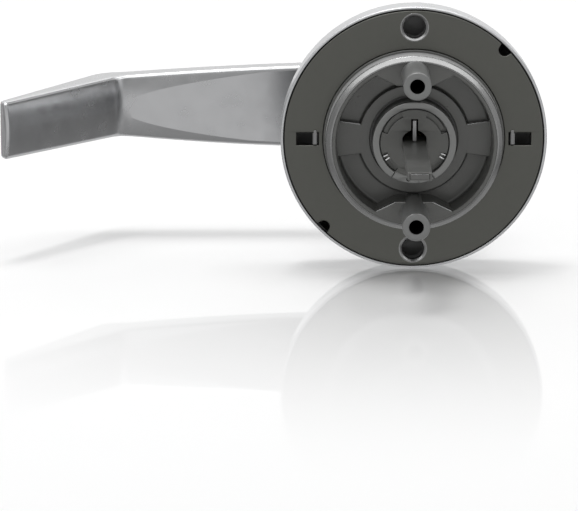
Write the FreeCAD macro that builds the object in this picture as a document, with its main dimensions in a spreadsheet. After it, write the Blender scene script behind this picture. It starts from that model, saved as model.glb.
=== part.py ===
import FreeCAD, Part
import math
import os
import Sketcher

# Outside lever trim of an exit device, seen from the door as a round rose with two through-bolt
# posts, a sprung lever spindle and a key cylinder that turns a flat tailpiece.
# Origin: spindle axis, in the plane where the rose bears on the door. +Z is up, -Y points into
# the door, +Y is the outside of the door, and the lever reaches to -X. Units are millimetres.

Vector = FreeCAD.Vector
doc = FreeCAD.newDocument("LeverTrim")
sheet = doc.addObject("Spreadsheet::Sheet", "Sizes")

# Driving sizes. A "y" size is a place along the spindle axis, counted from the door face.
SIZES = (
    ("rose_radius", 40.5, "outside of the rose cover"),
    ("rose_wall", 0.9, "side wall of the rose cover"),
    ("rose_front_wall", 1.2, "front wall of the rose cover"),
    ("rose_depth", 14.0, "door face to front of rose"),
    ("rose_rim_y", 0.2, "rim of the cover behind the door face plane"),
    ("rose_corner", 5.5, "outer rounding of the cover"),
    ("neck_clearance", 0.6, "lever neck to rose hole"),
    ("plate_gap", 0.25, "plate edge to inside of cover"),
    ("plate_thickness", 2.8, "mounting plate"),
    ("plate_bore_gap", 0.05, "plate bore to housing land"),
    ("screw_hole_offset", 0.275, "plate hole centre, outside the middle of the plate's free rim"),
    ("screw_hole_share", 0.3163, "plate hole radius, share of the free rim"),
    ("screw_boss_share", 0.4651, "radius of the thickened rim round a hole, share of the free rim"),
    ("screw_boss_depth", 3.4, "how far that rim stands behind the plate"),
    ("slot_offset", 0.3, "clip slot, near end outside the housing flange"),
    ("slot_share", 0.641, "clip slot length, share of the plate outside its near end"),
    ("slot_half_height", 1.95, "clip slot"),
    ("notch_radius", 1.9, "pry notch in the plate edge"),
    ("notch_inset", 0.65, "notch centre inside the plate edge"),
    ("notch_angle", 45.0, "first pry notch, from +X towards +Z"),
    ("register_radius", 26.8, "ring that fits the door bore"),
    ("register_height", 8.2, "ring stands into the door by this much"),
    ("register_wall", 3.05, "thickness of the ring at its face"),
    ("register_round", 1.1, "rounding of the ring's outer edge"),
    ("land_step", 0.7, "seat of the plate, wider than the ring"),
    ("land_height", 0.6, "seat stands above the plate face"),
    ("recess_draft", 0.35, "ring wall thicker at the window floor by this much"),
    ("window_depth", 2.6, "window floor behind the door face plane"),
    ("floor_thickness", 1.8, "housing floor under the windows"),
    ("hub_step", 2.65, "raised ring round the spindle, wider than the bush seat"),
    ("hub_hole_radius", 13.4, "opening round the spindle"),
    ("hub_lip", 1.0, "thickness of that opening's edge"),
    ("rib_inner_half", 4.5, "side rib half width at the hub"),
    ("rib_outer_half", 5.8, "side rib half width at the ring"),
    ("pad_spread", 29.15, "half angle of a post pad at the ring"),
    ("pad_inner_half", 5.5, "post pad half width near the hub"),
    ("pad_rise", 1.05, "post pad edge outside the hub"),
    ("flange_step", 1.1, "housing flange behind the plate, wider than the seat"),
    ("cage_wall", 1.6, "side wall of the spring cage"),
    ("cage_depth", 11.4, "front of the cage wall"),
    ("cage_cover_thickness", 1.1, "cage cover"),
    ("post_room", 0.3, "post head to bush flange, with the margin below"),
    ("post_margin", 0.35, "post head, smaller than half its room"),
    ("post_share", 0.8077, "post radius, share of its head's radius"),
    ("post_bore_share", 0.5238, "thread bore radius, share of the post radius"),
    ("post_reach", 28.0, "post end beyond the door face plane"),
    ("post_thread_depth", 18.0, "depth of the thread bore"),
    ("post_relief", 0.35, "gap round a post where it enters the hub"),
    ("post_head_height", 1.2, "staked head inside the cage"),
    ("sleeve_radius", 12.7, "spindle sleeve outside"),
    ("sleeve_bore", 10.55, "spindle sleeve inside"),
    ("sleeve_end", 7.0, "sleeve end beyond the door face plane"),
    ("sleeve_front_y", 33.5, "sleeve end inside the lever"),
    ("running_gap", 0.05, "radial clearance of a running fit"),
    ("collar_radius", 15.6, "collar on the sleeve"),
    ("collar_y", 10.2, "collar face on the door side"),
    ("collar_thickness", 0.8, "collar"),
    ("bush_radius", 14.1, "bush seat in the housing"),
    ("bush_flange_radius", 15.4, "bush flange"),
    ("bush_flange", 0.8, "thickness of the bush flange"),
    ("ring_thickness", 1.0, "retaining ring on the sleeve"),
    ("ring_seat", 12.15, "bottom of its groove"),
    ("ring_outer", 15.0, "outside of that ring"),
    ("ring_gap_half", 14.0, "half angle of the gap in a retaining ring"),
    ("side_gap", 0.05, "axial clearance of rings and washers"),
    ("washer_thickness", 0.3, "thrust washer"),
    ("washer_outer", 15.4, "thrust washer outside"),
    ("turn_range", 50.0, "lever travel"),
    ("lug_angle", -30.0, "stop lug at rest, from +X towards +Z"),
    ("lug_half", 7.0, "half angle of the stop lug"),
    ("lug_reach", 19.8, "outer radius of the stop lug"),
    ("stop_circle", 18.5, "distance of the stop pins from the axis"),
    ("stop_radius", 1.5, "stop pin"),
    ("stop_clear", 0.6, "angle left between lug and pin at each end"),
    ("stop_seat", 1.0, "stop pin depth in the floor"),
    ("drive_circle", 17.6, "distance of the drive pin from the axis"),
    ("drive_radius", 1.2, "drive pin"),
    ("drive_length", 2.0, "drive pin below the collar"),
    ("spring_wire", 0.7, "return spring wire radius"),
    ("spring_coil", 14.3, "return spring mean radius"),
    ("spring_leg_reach", 19.6, "ends of the return spring"),
    ("spring_touch", 0.15, "spring leg to pin"),
    ("boss_inset", 5.0, "cage screws, inside the flange"),
    ("boss_radius", 2.8, "cage screw boss"),
    ("cage_screw_radius", 1.2, "cage screw shank"),
    ("cage_screw_head", 2.3, "cage screw head"),
    ("cage_screw_length", 5.5, "cage screw"),
    ("screw_gap", 0.05, "screw to its hole"),
    ("clip_thickness", 0.8, "rose clip strip"),
    ("clip_tab", 1.4, "tab of the rose clip in the slot"),
    ("clip_offset", 0.4, "gap between slot end and tab"),
    ("clip_half_width", 4.4, "rose clip"),
    ("clip_leg", 2.25, "width of one clip leg"),
    ("clip_hook", 5.5, "length of the clip hook"),
    ("clip_gap", 0.2, "tab in its slot"),
    ("clip_hook_gap", 0.45, "clip hook to inside of cover"),
    ("disc_radius", 8.6, "driver disc between its ears"),
    ("disc_thickness", 0.8, "driver disc"),
    ("disc_recess", 0.5, "driver disc below the sleeve end"),
    ("ear_radius", 10.35, "driver disc ears"),
    ("ear_half", 19.0, "half angle of a side ear"),
    ("top_ear_half", 23.0, "half angle of the upper ear"),
    ("eye_radius", 3.95, "hole for the tailpiece"),
    ("blade_slot_half", 1.05, "slot for the cylinder blade"),
    ("blade_slot_reach", 7.3, "end of that slot from the axis"),
    ("hub_neck", 8.1, "neck of the driver hub under the ring"),
    ("hub_ring_thickness", 0.9, "retaining ring of the driver"),
    ("hub_ring_outer", 9.85, "outside of that ring"),
    ("hub_ring_shift", 0.5, "its outer circle is higher by this much"),
    ("hub_ring_gap", 0.1, "ring to neck, radially"),
    ("ring_lug_reach", 12.3, "lugs of that ring"),
    ("ring_lug_half", 30.0, "half angle of both lugs together"),
    ("lug_notch_gap", 1.5, "angle left beside the lugs in the sleeve"),
    ("ring_lug_turn", -92.0, "direction of the ring's opening"),
    ("ring_opening_half", 1.6, "half angle of the opening"),
    ("plier_hole_radius", 0.65, "holes for the pliers"),
    ("plier_hole_angle", 8.0, "hole to opening"),
    ("plier_hole_place", 11.5, "holes, distance from the axis"),
    ("driver_depth", 9.0, "driver hub length behind the ring"),
    ("tail_half_width", 3.6, "tailpiece channel"),
    ("tail_top", 0.3, "tailpiece channel, top face"),
    ("tail_bottom", -2.0, "tailpiece channel, bottom face"),
    ("tail_side_wall", 0.8, "channel cheek"),
    ("tail_wall", 0.35, "channel top and bottom"),
    ("tail_end", 51.5, "channel end beyond the door face plane"),
    ("tail_bar_gap", 0.04, "bar to channel"),
    ("tail_bar_proud", 0.4, "bar end beyond the channel end"),
    ("blade_half_thickness", 0.5, "cylinder blade"),
    ("blade_half_width", 4.4, "cylinder blade inside the sleeve"),
    ("blade_tip_height", 6.9, "upper half of the blade at the driver"),
    ("blade_tip_low", 0.6, "lower edge of that upper half"),
    ("catch_y", 22.0, "lever catch, place along the spindle"),
    ("catch_radius", 2.2, "lever catch pin"),
    ("catch_head_radius", 3.0, "lever catch head"),
    ("catch_head", 0.9, "lever catch head thickness"),
    ("catch_seat", 9.9, "head to axis"),
    ("catch_tip", 14.6, "tip to axis"),
    ("catch_gap", 0.1, "catch to its holes"),
    ("catch_spring_wall", 0.4, "catch spring strip"),
    ("catch_spring_half", 2.4, "catch spring half width"),
    ("catch_spring_gap", 0.15, "spring to sleeve bore"),
    ("catch_spring_opening", 2.0, "half height of the strip's opening"),
    ("neck_radius", 15.0, "lever neck"),
    ("neck_foot_radius", 15.6, "lever neck in the rose"),
    ("neck_y", 12.9, "lever neck end inside the rose"),
    ("neck_foot_y", 17.5, "where the neck narrows"),
    ("head_y", 41.0, "where the neck widens to the head"),
    ("head_radius", 17.0, "lever head"),
    ("head_full_y", 47.0, "where the head is full width"),
    ("front_y", 58.0, "front of the lever"),
    ("front_bevel", 1.2, "bevel round the front of the head"),
    ("shank_back_y", 48.0, "back of the shank at the bend"),
    ("shank_slope", 2.7, "shank back is this much further out at the head"),
    ("shank_end", 91.0, "bend, distance from the axis"),
    ("shank_front_bend", 98.5, "bend of the front face"),
    ("shank_front_y", 57.0, "front face at the bend"),
    ("shank_root", 6.0, "shank starts inside the head"),
    ("shank_top_root", 14.3, "top of the shank at the head"),
    ("shank_bottom_root", 13.0, "bottom of the shank at the head"),
    ("shank_top_bow", 0.8, "top edge bows up by this much at mid length"),
    ("shank_bottom_bow", 1.2, "bottom edge bows down by this much at mid length"),
    ("shank_top_bend", 10.5, "top of the shank at the bend"),
    ("shank_bottom_bend", 8.9, "bottom of the shank at the bend"),
    ("tip_top", 9.0, "top of the return at its end"),
    ("tip_bottom", 8.5, "bottom of the return at its end"),
    ("return_angle", 49.5, "return towards the door, from the shank's line"),
    ("return_length", 51.3, "return, along its near face"),
    ("tip_outer", 127.0, "end of the return, far corner"),
    ("tip_outer_y", 13.6, "end of the return, far corner"),
    ("crown_radius", 45.0, "crown across the back of the lever"),
    ("crown_mid", 0.3, "height of the crown's middle line"),
    ("crown_overlap", 0.5, "the two crowns pass the bend by this much"),
    ("lever_edge", 1.8, "rounding of the lever's long edges"),
    ("outer_bend", 7.0, "rounding outside the bend"),
    ("lever_bore_gap", 0.05, "lever bore to sleeve"),
    ("cavity_y", 34.2, "lever cavity for the cylinder"),
    ("cylinder_gap", 0.1, "cylinder to cavity"),
    ("cylinder_radius", 8.75, "cylinder shell"),
    ("tower_half", 4.0, "half width of the pin tower"),
    ("tower_top", 13.3, "top of the pin tower"),
    ("cylinder_back_y", 35.0, "back of the cylinder"),
    ("cylinder_recess", 0.4, "cylinder face below the lever front"),
    ("plug_radius", 6.35, "cylinder plug"),
    ("plug_gap", 0.08, "plug to shell"),
    ("plug_collar", 7.2, "plug face collar"),
    ("plug_collar_depth", 1.4, "plug face collar"),
    ("keyway_half", 0.95, "keyway"),
    ("keyway_top", 3.6, "keyway, upper end"),
    ("keyway_bottom", 5.4, "keyway, lower end"),
    ("pin_radius", 1.4, "tumbler pins"),
    ("pin_gap", 0.08, "pin to chamber"),
    ("pin_pitch", 3.6, "tumbler spacing"),
    ("pin_first", 5.0, "first tumbler behind the cylinder face"),
    ("pin_split", 0.1, "gap at the shear line"),
    ("key_pin_low", 1.2, "lower end of the key pins"),
    ("driver_pin_length", 2.6, "driver pins"),
    ("pin_spring_wall", 0.35, "tumbler spring thickness"),
    ("tower_cap", 0.7, "metal left over the chambers"),
    ("cap_radius", 6.1, "cap that holds the blade on the plug"),
    ("keyway_web", 2.0, "solid back of the plug behind the keyway"),
    ("cap_thickness", 1.6, "cap that holds the blade on the plug"),
)
PIN_COUNT = 5
SHORT_EDGE = 4.0
BEYOND = 1.0
QUARTER = 90.0
CROWN_DEPTH = 8.0
PAD_ANGLES = (-28.0, -14.0, 0.0, 14.0, 28.0)
CAGE_SCREW_ANGLES = (0, 120, 240)

for row, (alias, number, note) in enumerate(SIZES, start=1):
    sheet.set(f"A{row}", alias)
    sheet.set(f"B{row}", str(number))
    sheet.setAlias(f"B{row}", alias)
    sheet.set(f"C{row}", note)
doc.recompute()


class Size:
    """A number together with the sheet formula that gives it."""

    def __init__(self, value, text):
        self.value = value
        self.text = text

    def __add__(self, other):
        other = as_size(other)
        return Size(self.value + other.value, f"({self.text} + {other.text})")

    def __sub__(self, other):
        other = as_size(other)
        return Size(self.value - other.value, f"({self.text} - {other.text})")

    def __mul__(self, other):
        other = as_size(other)
        return Size(self.value * other.value, f"({self.text} * {other.text})")

    def __truediv__(self, other):
        other = as_size(other)
        return Size(self.value / other.value, f"({self.text} / {other.text})")

    def __neg__(self):
        return Size(-self.value, f"(0 - {self.text})")


def as_size(number):
    """A plain number as a Size."""
    return number if isinstance(number, Size) else Size(float(number), repr(float(number)))


def size(alias):
    """The sheet cell with this alias."""
    return Size(float(sheet.get(alias)), f"Sizes.{alias}")


def cosine(angle):
    return Size(math.cos(math.radians(angle.value)), f"cos({angle.text})")


def sine(angle):
    return Size(math.sin(math.radians(angle.value)), f"sin({angle.text})")


def polar(radius, angle):
    """The point at this radius and angle, from +X towards +Z."""
    radius, angle = as_size(radius), as_size(angle)
    return radius * cosine(angle), radius * sine(angle)


def swept(radius, turns):
    """The angle in degrees that a short length subtends at a radius."""
    return turns / radius * Size(180 / math.pi, repr(180 / math.pi))


def bind(thing, prop, value):
    """Ties a property to the sheet."""
    thing.setExpression(prop, as_size(value).text)


def body(name):
    made = doc.addObject("PartDesign::Body", name)
    made.Label = name
    return made


def sketch(owner, role, offset=None, turn=None):
    """A sketch on one of the body's own planes, moved along its normal and turned in it."""
    plane = next(f for f in owner.Origin.OriginFeatures if f.Role == role)
    made = owner.newObject("Sketcher::SketchObject", f"{owner.Name}_sketch")
    made.AttachmentSupport = [(plane, "")]
    made.MapMode = "FlatFace"
    if offset is not None:
        bind(made, "AttachmentOffset.Base.z", offset)
    if turn is not None:
        bind(made, "AttachmentOffset.Rotation.Angle", turn)
    return made


def pin_point(made, geometry, end, x, y):
    """Dimensions one sketch point from the sketch origin."""
    for kind, value in (("DistanceX", x), ("DistanceY", y)):
        index = made.addConstraint(Sketcher.Constraint(kind, -1, 1, geometry, end, value.value))
        made.setExpression(f"Constraints[{index}]", value.text)


def outline(made, points):
    """A closed polygon through points, each one dimensioned."""
    points = [(as_size(x), as_size(y)) for x, y in points]
    first = made.GeometryCount
    count = len(points)
    for index, (x, y) in enumerate(points):
        nx, ny = points[(index + 1) % count]
        start = Vector(x.value, y.value, 0)
        made.addGeometry(Part.LineSegment(start, Vector(nx.value, ny.value, 0)), False)
    for index in range(count):
        after = first + (index + 1) % count
        made.addConstraint(Sketcher.Constraint("Coincident", first + index, 2, after, 1))
    for index, (x, y) in enumerate(points):
        pin_point(made, first + index, 1, x, y)


def circle(made, radius, x=0, y=0):
    """A circle dimensioned by its centre and radius."""
    radius, x, y = as_size(radius), as_size(x), as_size(y)
    centre = Vector(x.value, y.value, 0)
    geometry = made.addGeometry(Part.Circle(centre, Vector(0, 0, 1), radius.value), False)
    pin_point(made, geometry, 3, x, y)
    index = made.addConstraint(Sketcher.Constraint("Radius", geometry, radius.value))
    made.setExpression(f"Constraints[{index}]", radius.text)


def arc_face(made, radius, centre_x, centre_y, half):
    """A closed outline with an arc on its +x side, whose crest is centre_x minus the radius."""
    radius, centre_x, centre_y = as_size(radius), as_size(centre_x), as_size(centre_y)
    low, high, left = centre_y - half, centre_y + half, centre_x - radius - CROWN_DEPTH
    tilt = math.asin(as_size(half).value / radius.value)
    centre = Vector(centre_x.value, centre_y.value, 0)
    full = Part.Circle(centre, Vector(0, 0, 1), radius.value)
    arc = made.addGeometry(Part.ArcOfCircle(full, math.pi - tilt, math.pi + tilt), False)
    top, bottom = (Vector(point.x, point.y, 0) for point in (
        made.Geometry[arc].StartPoint, made.Geometry[arc].EndPoint))
    upper = Vector(left.value, high.value, 0)
    lower = Vector(left.value, low.value, 0)
    lines = [made.addGeometry(Part.LineSegment(a, b), False) for a, b in (
        (bottom, lower), (lower, upper), (upper, top))]
    for first, end, second, start in (
        (arc, 2, lines[0], 1), (lines[0], 2, lines[1], 1),
        (lines[1], 2, lines[2], 1), (lines[2], 2, arc, 1),
    ):
        made.addConstraint(Sketcher.Constraint("Coincident", first, end, second, start))
    made.addConstraint(Sketcher.Constraint("Horizontal", lines[0]))
    made.addConstraint(Sketcher.Constraint("Horizontal", lines[2]))
    pin_point(made, lines[1], 1, left, low)
    pin_point(made, lines[1], 2, left, high)
    pin_point(made, arc, 3, centre_x, centre_y)
    index = made.addConstraint(Sketcher.Constraint("Radius", arc, radius.value))
    made.setExpression(f"Constraints[{index}]", radius.text)


def bowed(start, end, bow, steps=6):
    """Points from start to end on a parabola that leaves the chord by bow at mid length."""
    x0, z0, x1, z1 = (as_size(value) for value in (*start, *end))
    points = []
    for k in range(steps + 1):
        share = k / steps
        lift = as_size(bow) * (4 * share * (1 - share))
        points.append((x0 + (x1 - x0) * share, z0 + (z1 - z0) * share + lift))
    return points


def sector(inner, outer, angle, half, steps=4):
    """Polygon of a ring sector, its outer arc in short chords."""
    angle, half = as_size(angle), as_size(half)
    rim = [polar(outer, angle + half * (2 * k / steps - 1)) for k in range(steps + 1)]
    return [polar(inner, angle - half)] + rim + [polar(inner, angle + half)]


def pad(owner, made, length, midplane=False, reverse=False):
    feature = owner.newObject("PartDesign::Pad", f"{owner.Name}_pad")
    feature.Profile = made
    feature.Midplane = midplane
    feature.Reversed = reverse
    bind(feature, "Length", length)
    doc.recompute()
    return feature


def pocket(owner, made, length, midplane=False, reverse=False):
    """Removes material, and checks that some really went."""
    before = owner.Shape.Volume
    feature = owner.newObject("PartDesign::Pocket", f"{owner.Name}_pocket")
    feature.Profile = made
    feature.Midplane = midplane
    feature.Reversed = reverse
    bind(feature, "Length", length)
    doc.recompute()
    if not owner.Shape.Volume < before:
        raise RuntimeError(f"{feature.Label} cuts nothing")
    return feature


def turn(owner, points):
    """Adds a solid turned about the spindle axis from a profile of (radius, y) points."""
    profile = sketch(owner, "XY_Plane")
    outline(profile, points)
    feature = owner.newObject("PartDesign::Revolution", f"{owner.Name}_turn")
    feature.Profile = profile
    feature.ReferenceAxis = (profile, ["V_Axis"])
    feature.Angle = 360
    doc.recompute()


def turned(name, points):
    """A body whose first feature is turned about the spindle axis."""
    made = body(name)
    turn(made, points)
    return made


def across(owner, y):
    """A sketch square to the spindle axis at this y; its x is X and its y is Z."""
    return sketch(owner, "XZ_Plane", -as_size(y))


def block(owner, y_door, y_out, shapes):
    """Adds material between two places on the axis. shapes draws into the sketch."""
    made = across(owner, y_out)
    shapes(made)
    return pad(owner, made, as_size(y_out) - y_door)


def cut(owner, y_door, y_out, shapes):
    """Removes material between two places on the axis."""
    made = across(owner, y_door)
    shapes(made)
    return pocket(owner, made, as_size(y_out) - y_door)


def fillet(owner, radius, choose):
    """Rounds the edges of the body that choose picks."""
    doc.recompute()
    tip = owner.Tip
    names = [f"Edge{k}" for k, edge in enumerate(tip.Shape.Edges, start=1) if choose(edge)]
    feature = owner.newObject("PartDesign::Fillet", f"{owner.Name}_round")
    feature.Base = (tip, names)
    bind(feature, "Radius", radius)
    doc.recompute()
    return feature


def round_edge(radius, y):
    """Picks the full circle edge of this radius at this y."""
    def choose(edge):
        curve = edge.Curve
        if not isinstance(curve, Part.Circle):
            return False
        return abs(curve.Radius - radius.value) < 0.01 and abs(curve.Center.y - y.value) < 0.01
    return choose


def rod(name, radius, length, x, y, z, turn):
    """A plain cylinder whose axis is turned from +Z about X by so many degrees."""
    made = doc.addObject("Part::Cylinder", name)
    made.Label = name
    bind(made, "Radius", radius)
    bind(made, "Height", length)
    bind(made, "Placement.Base.x", x)
    bind(made, "Placement.Base.y", y)
    bind(made, "Placement.Base.z", z)
    made.Placement.Rotation = FreeCAD.Rotation(Vector(1, 0, 0), turn)
    return made


def group(name, shapes):
    """Several like solids in one node."""
    made = doc.addObject("Part::Feature", name)
    made.Label = name
    made.Shape = Part.Compound(shapes)
    made.Placement = FreeCAD.Placement()
    return made


ALONG_Y = -90

floor_y = size("window_depth") + size("floor_thickness")
cage_cover_front = size("cage_depth") + size("cage_cover_thickness")
rose_inside_y = size("rose_depth") - size("rose_front_wall")
cover_inside = size("rose_radius") - size("rose_wall")
plate_radius = cover_inside - size("plate_gap")
land_radius = size("register_radius") + size("land_step")
flange_radius = land_radius + size("flange_step")
lip_radius = size("register_radius") - size("register_wall")
hub_radius = size("bush_radius") + size("hub_step")
boss_circle = flange_radius - size("boss_inset")
rim_width = plate_radius - flange_radius
screw_place = (plate_radius + flange_radius) / 2 + size("screw_hole_offset")
screw_hole_radius = rim_width * size("screw_hole_share")
screw_boss_radius = rim_width * size("screw_boss_share")
slot_inner = flange_radius + size("slot_offset")
slot_outer = slot_inner + (plate_radius - slot_inner) * size("slot_share")
post_inside = size("bush_flange_radius") + size("post_room")
post_place = (post_inside + size("register_radius")) / 2
post_head_radius = (size("register_radius") - post_inside) / 2 - size("post_margin")
post_radius = post_head_radius * size("post_share")
disc_face = -size("sleeve_end") + size("disc_recess")
ring_face = disc_face + size("disc_thickness") + size("side_gap")
ring_back = ring_face + size("hub_ring_thickness")
cylinder_face = size("front_y") - size("cylinder_recess")
collar_front = size("collar_y") + size("collar_thickness")
rest_stop_angle = size("lug_angle") - size("lug_half") - size("stop_clear") - swept(
    size("stop_circle"), size("stop_radius"))
far_stop_angle = size("lug_angle") + size("turn_range") + size("lug_half") + size(
    "stop_clear") + swept(size("stop_circle"), size("stop_radius"))


def rose_cover():
    """Drawn cup with a rounded front and a hole for the lever neck."""
    hole = size("neck_foot_radius") + size("neck_clearance")
    made = turned("rose_cover", [
        (cover_inside, size("rose_rim_y")),
        (size("rose_radius"), size("rose_rim_y")),
        (size("rose_radius"), size("rose_depth")),
        (hole, size("rose_depth")),
        (hole, rose_inside_y),
        (cover_inside, rose_inside_y),
    ])
    corner = size("rose_corner")
    fillet(made, corner, round_edge(size("rose_radius"), size("rose_depth")))
    fillet(made, corner - size("rose_wall"), round_edge(cover_inside, rose_inside_y))


def mounting_plate():
    """Flat disc with screw holes, clip slots and pry notches."""
    bore = land_radius + size("plate_bore_gap")
    thick = size("plate_thickness")
    made = turned("mounting_plate", [
        (bore, 0),
        (plate_radius, 0),
        (plate_radius, thick),
        (bore, thick),
    ])

    def bosses(drawn):
        for side in (1, -1):
            circle(drawn, screw_boss_radius, 0, screw_place * side)

    def openings(drawn):
        for side in (1, -1):
            circle(drawn, screw_hole_radius, 0, screw_place * side)
            near, far = slot_inner * side, slot_outer * side
            half = size("slot_half_height")
            outline(drawn, [(near, -half), (far, -half), (far, half), (near, half)])

    def notches(drawn):
        for turn in (0, 180):
            x, z = polar(plate_radius - size("notch_inset"), size("notch_angle") + turn)
            circle(drawn, size("notch_radius"), x, z)

    back = thick + size("screw_boss_depth")
    block(made, 0, back, bosses)
    cut(made, -BEYOND, back + BEYOND, openings)
    cut(made, -BEYOND, thick + BEYOND, notches)


def spring_housing():
    """Cast cup: register ring, post pads, ribs, hub and the drum of the spring cage."""
    door = -size("register_height")
    drum = flange_radius - size("cage_wall")
    seat = size("bush_radius")
    made = turned("spring_housing", [
        (size("hub_hole_radius"), 0),
        (hub_radius, 0),
        (hub_radius, size("window_depth")),
        ((lip_radius - size("recess_draft")), size("window_depth")),
        (lip_radius, door),
        (size("register_radius"), door),
        (size("register_radius"), -size("land_height")),
        (land_radius, -size("land_height")),
        (land_radius, size("plate_thickness")),
        (flange_radius, size("plate_thickness")),
        (flange_radius, size("cage_depth")),
        (drum, size("cage_depth")),
        (drum, floor_y),
        (seat, floor_y),
        (seat, size("hub_lip")),
        (size("hub_hole_radius"), size("hub_lip")),
    ])
    fillet(made, size("register_round"), round_edge(size("register_radius"), door))
    anchor = (lip_radius + size("register_radius")) / 2

    def pads(drawn):
        for side in (1, -1):
            corner = (hub_radius + size("pad_rise")) * side
            inner, spread = size("pad_inner_half"), size("pad_spread")
            rim = [polar(anchor, (as_size(QUARTER) + angle) * side) for angle in PAD_ANGLES]
            outline(drawn, [
                polar(lip_radius, (as_size(QUARTER) + spread) * side),
                (-inner, corner),
                (inner, corner),
                polar(lip_radius, (as_size(QUARTER) - spread) * side),
            ] + rim)

    def ribs(drawn):
        for side in (1, -1):
            near = (size("hub_hole_radius") + hub_radius) / 2 * side
            far = anchor * side
            inner, outer = size("rib_inner_half"), size("rib_outer_half")
            outline(drawn, [(near, -inner), (far, -outer), (far, outer), (near, inner)])

    def bosses(drawn):
        for angle in CAGE_SCREW_ANGLES:
            circle(drawn, size("boss_radius"), *polar(boss_circle, angle))

    def boss_holes(drawn):
        for angle in CAGE_SCREW_ANGLES:
            hole = size("cage_screw_radius") + size("screw_gap")
            circle(drawn, hole, *polar(boss_circle, angle))

    def post_holes(drawn):
        for side in (1, -1):
            circle(drawn, post_radius, 0, post_place * side)

    def post_reliefs(drawn):
        for side in (1, -1):
            circle(drawn, post_radius + size("post_relief"), 0, post_place * side)

    def stop_seats(drawn):
        for angle in (rest_stop_angle, far_stop_angle):
            circle(drawn, size("stop_radius"), *polar(size("stop_circle"), angle))

    block(made, door, floor_y, pads)
    block(made, 0, floor_y, ribs)
    block(made, floor_y, size("cage_depth"), bosses)
    cut(made, door - BEYOND, floor_y + BEYOND, post_holes)
    cut(made, door - BEYOND, size("window_depth"), post_reliefs)
    hole_depth = size("cage_screw_length") + 1
    cut(made, size("cage_depth") - hole_depth, size("cage_depth") + BEYOND, boss_holes)
    cut(made, floor_y - size("stop_seat"), floor_y + BEYOND, stop_seats)


def post(name, side):
    """Threaded post, staked through the housing floor."""
    made = body(name)
    place = post_place * side
    end = -size("post_reach")
    outer, head = post_radius, post_head_radius
    block(made, end, floor_y, lambda drawn: circle(drawn, outer, 0, place))
    head_y = floor_y + size("post_head_height")
    block(made, floor_y, head_y, lambda drawn: circle(drawn, head, 0, place))
    bore_end = end + size("post_thread_depth")
    cut(made, end, bore_end, lambda drawn: circle(drawn, post_radius * size("post_bore_share"), 0, place))


def housing_bush():
    """Flanged bush that carries the sleeve."""
    inner = size("sleeve_radius") + size("running_gap")
    flange_y = floor_y + size("bush_flange")
    turned("housing_bush", [
        (inner, size("hub_lip")),
        (size("bush_radius"), size("hub_lip")),
        (size("bush_radius"), floor_y),
        (size("bush_flange_radius"), floor_y),
        (size("bush_flange_radius"), flange_y),
        (inner, flange_y),
    ])


def cage_cover():
    """Flat cover of the spring cage with countersunk screw holes."""
    inner = size("sleeve_radius") + size("running_gap") * 2
    made = turned("cage_cover", [
        (inner, size("cage_depth")),
        (flange_radius, size("cage_depth")),
        (flange_radius, cage_cover_front),
        (inner, cage_cover_front),
    ])

    def holes(drawn):
        for angle in CAGE_SCREW_ANGLES:
            hole = size("cage_screw_head") + size("screw_gap")
            circle(drawn, hole, *polar(boss_circle, angle))

    cut(made, size("cage_depth") - BEYOND, cage_cover_front + BEYOND, holes)


def numbers(*aliases):
    """Plain values of several cells."""
    return [size(alias).value for alias in aliases]


def cylinder_y(radius, y_door, y_out, x, z):
    """A solid cylinder along the spindle axis."""
    return Part.makeCylinder(radius, y_out - y_door, Vector(x, y_door, z), Vector(0, 1, 0))


def cage_screws():
    """Three low-head screws, heads flush with the cage cover."""
    shank, head, length = numbers("cage_screw_radius", "cage_screw_head", "cage_screw_length")
    circle_radius = boss_circle.value
    shapes = []
    for angle in CAGE_SCREW_ANGLES:
        x = circle_radius * math.cos(math.radians(angle))
        z = circle_radius * math.sin(math.radians(angle))
        seat = size("cage_depth").value
        front = cage_cover_front.value
        shank_solid = cylinder_y(shank, seat - length, seat, x, z)
        head_solid = cylinder_y(head, seat, front, x, z)
        shapes.append(shank_solid.fuse(head_solid).removeSplitter())
    group("cage_screws", shapes)


def stop_pins():
    """Two pins in the housing floor that end the lever's travel."""
    radius, place, seat = numbers("stop_radius", "stop_circle", "stop_seat")
    shapes = []
    for angle in (rest_stop_angle, far_stop_angle):
        x = place * math.cos(math.radians(angle.value))
        z = place * math.sin(math.radians(angle.value))
        low = floor_y.value - seat
        high = collar_front.value
        shapes.append(cylinder_y(radius, low, high, x, z))
    group("stop_pins", shapes)


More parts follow.
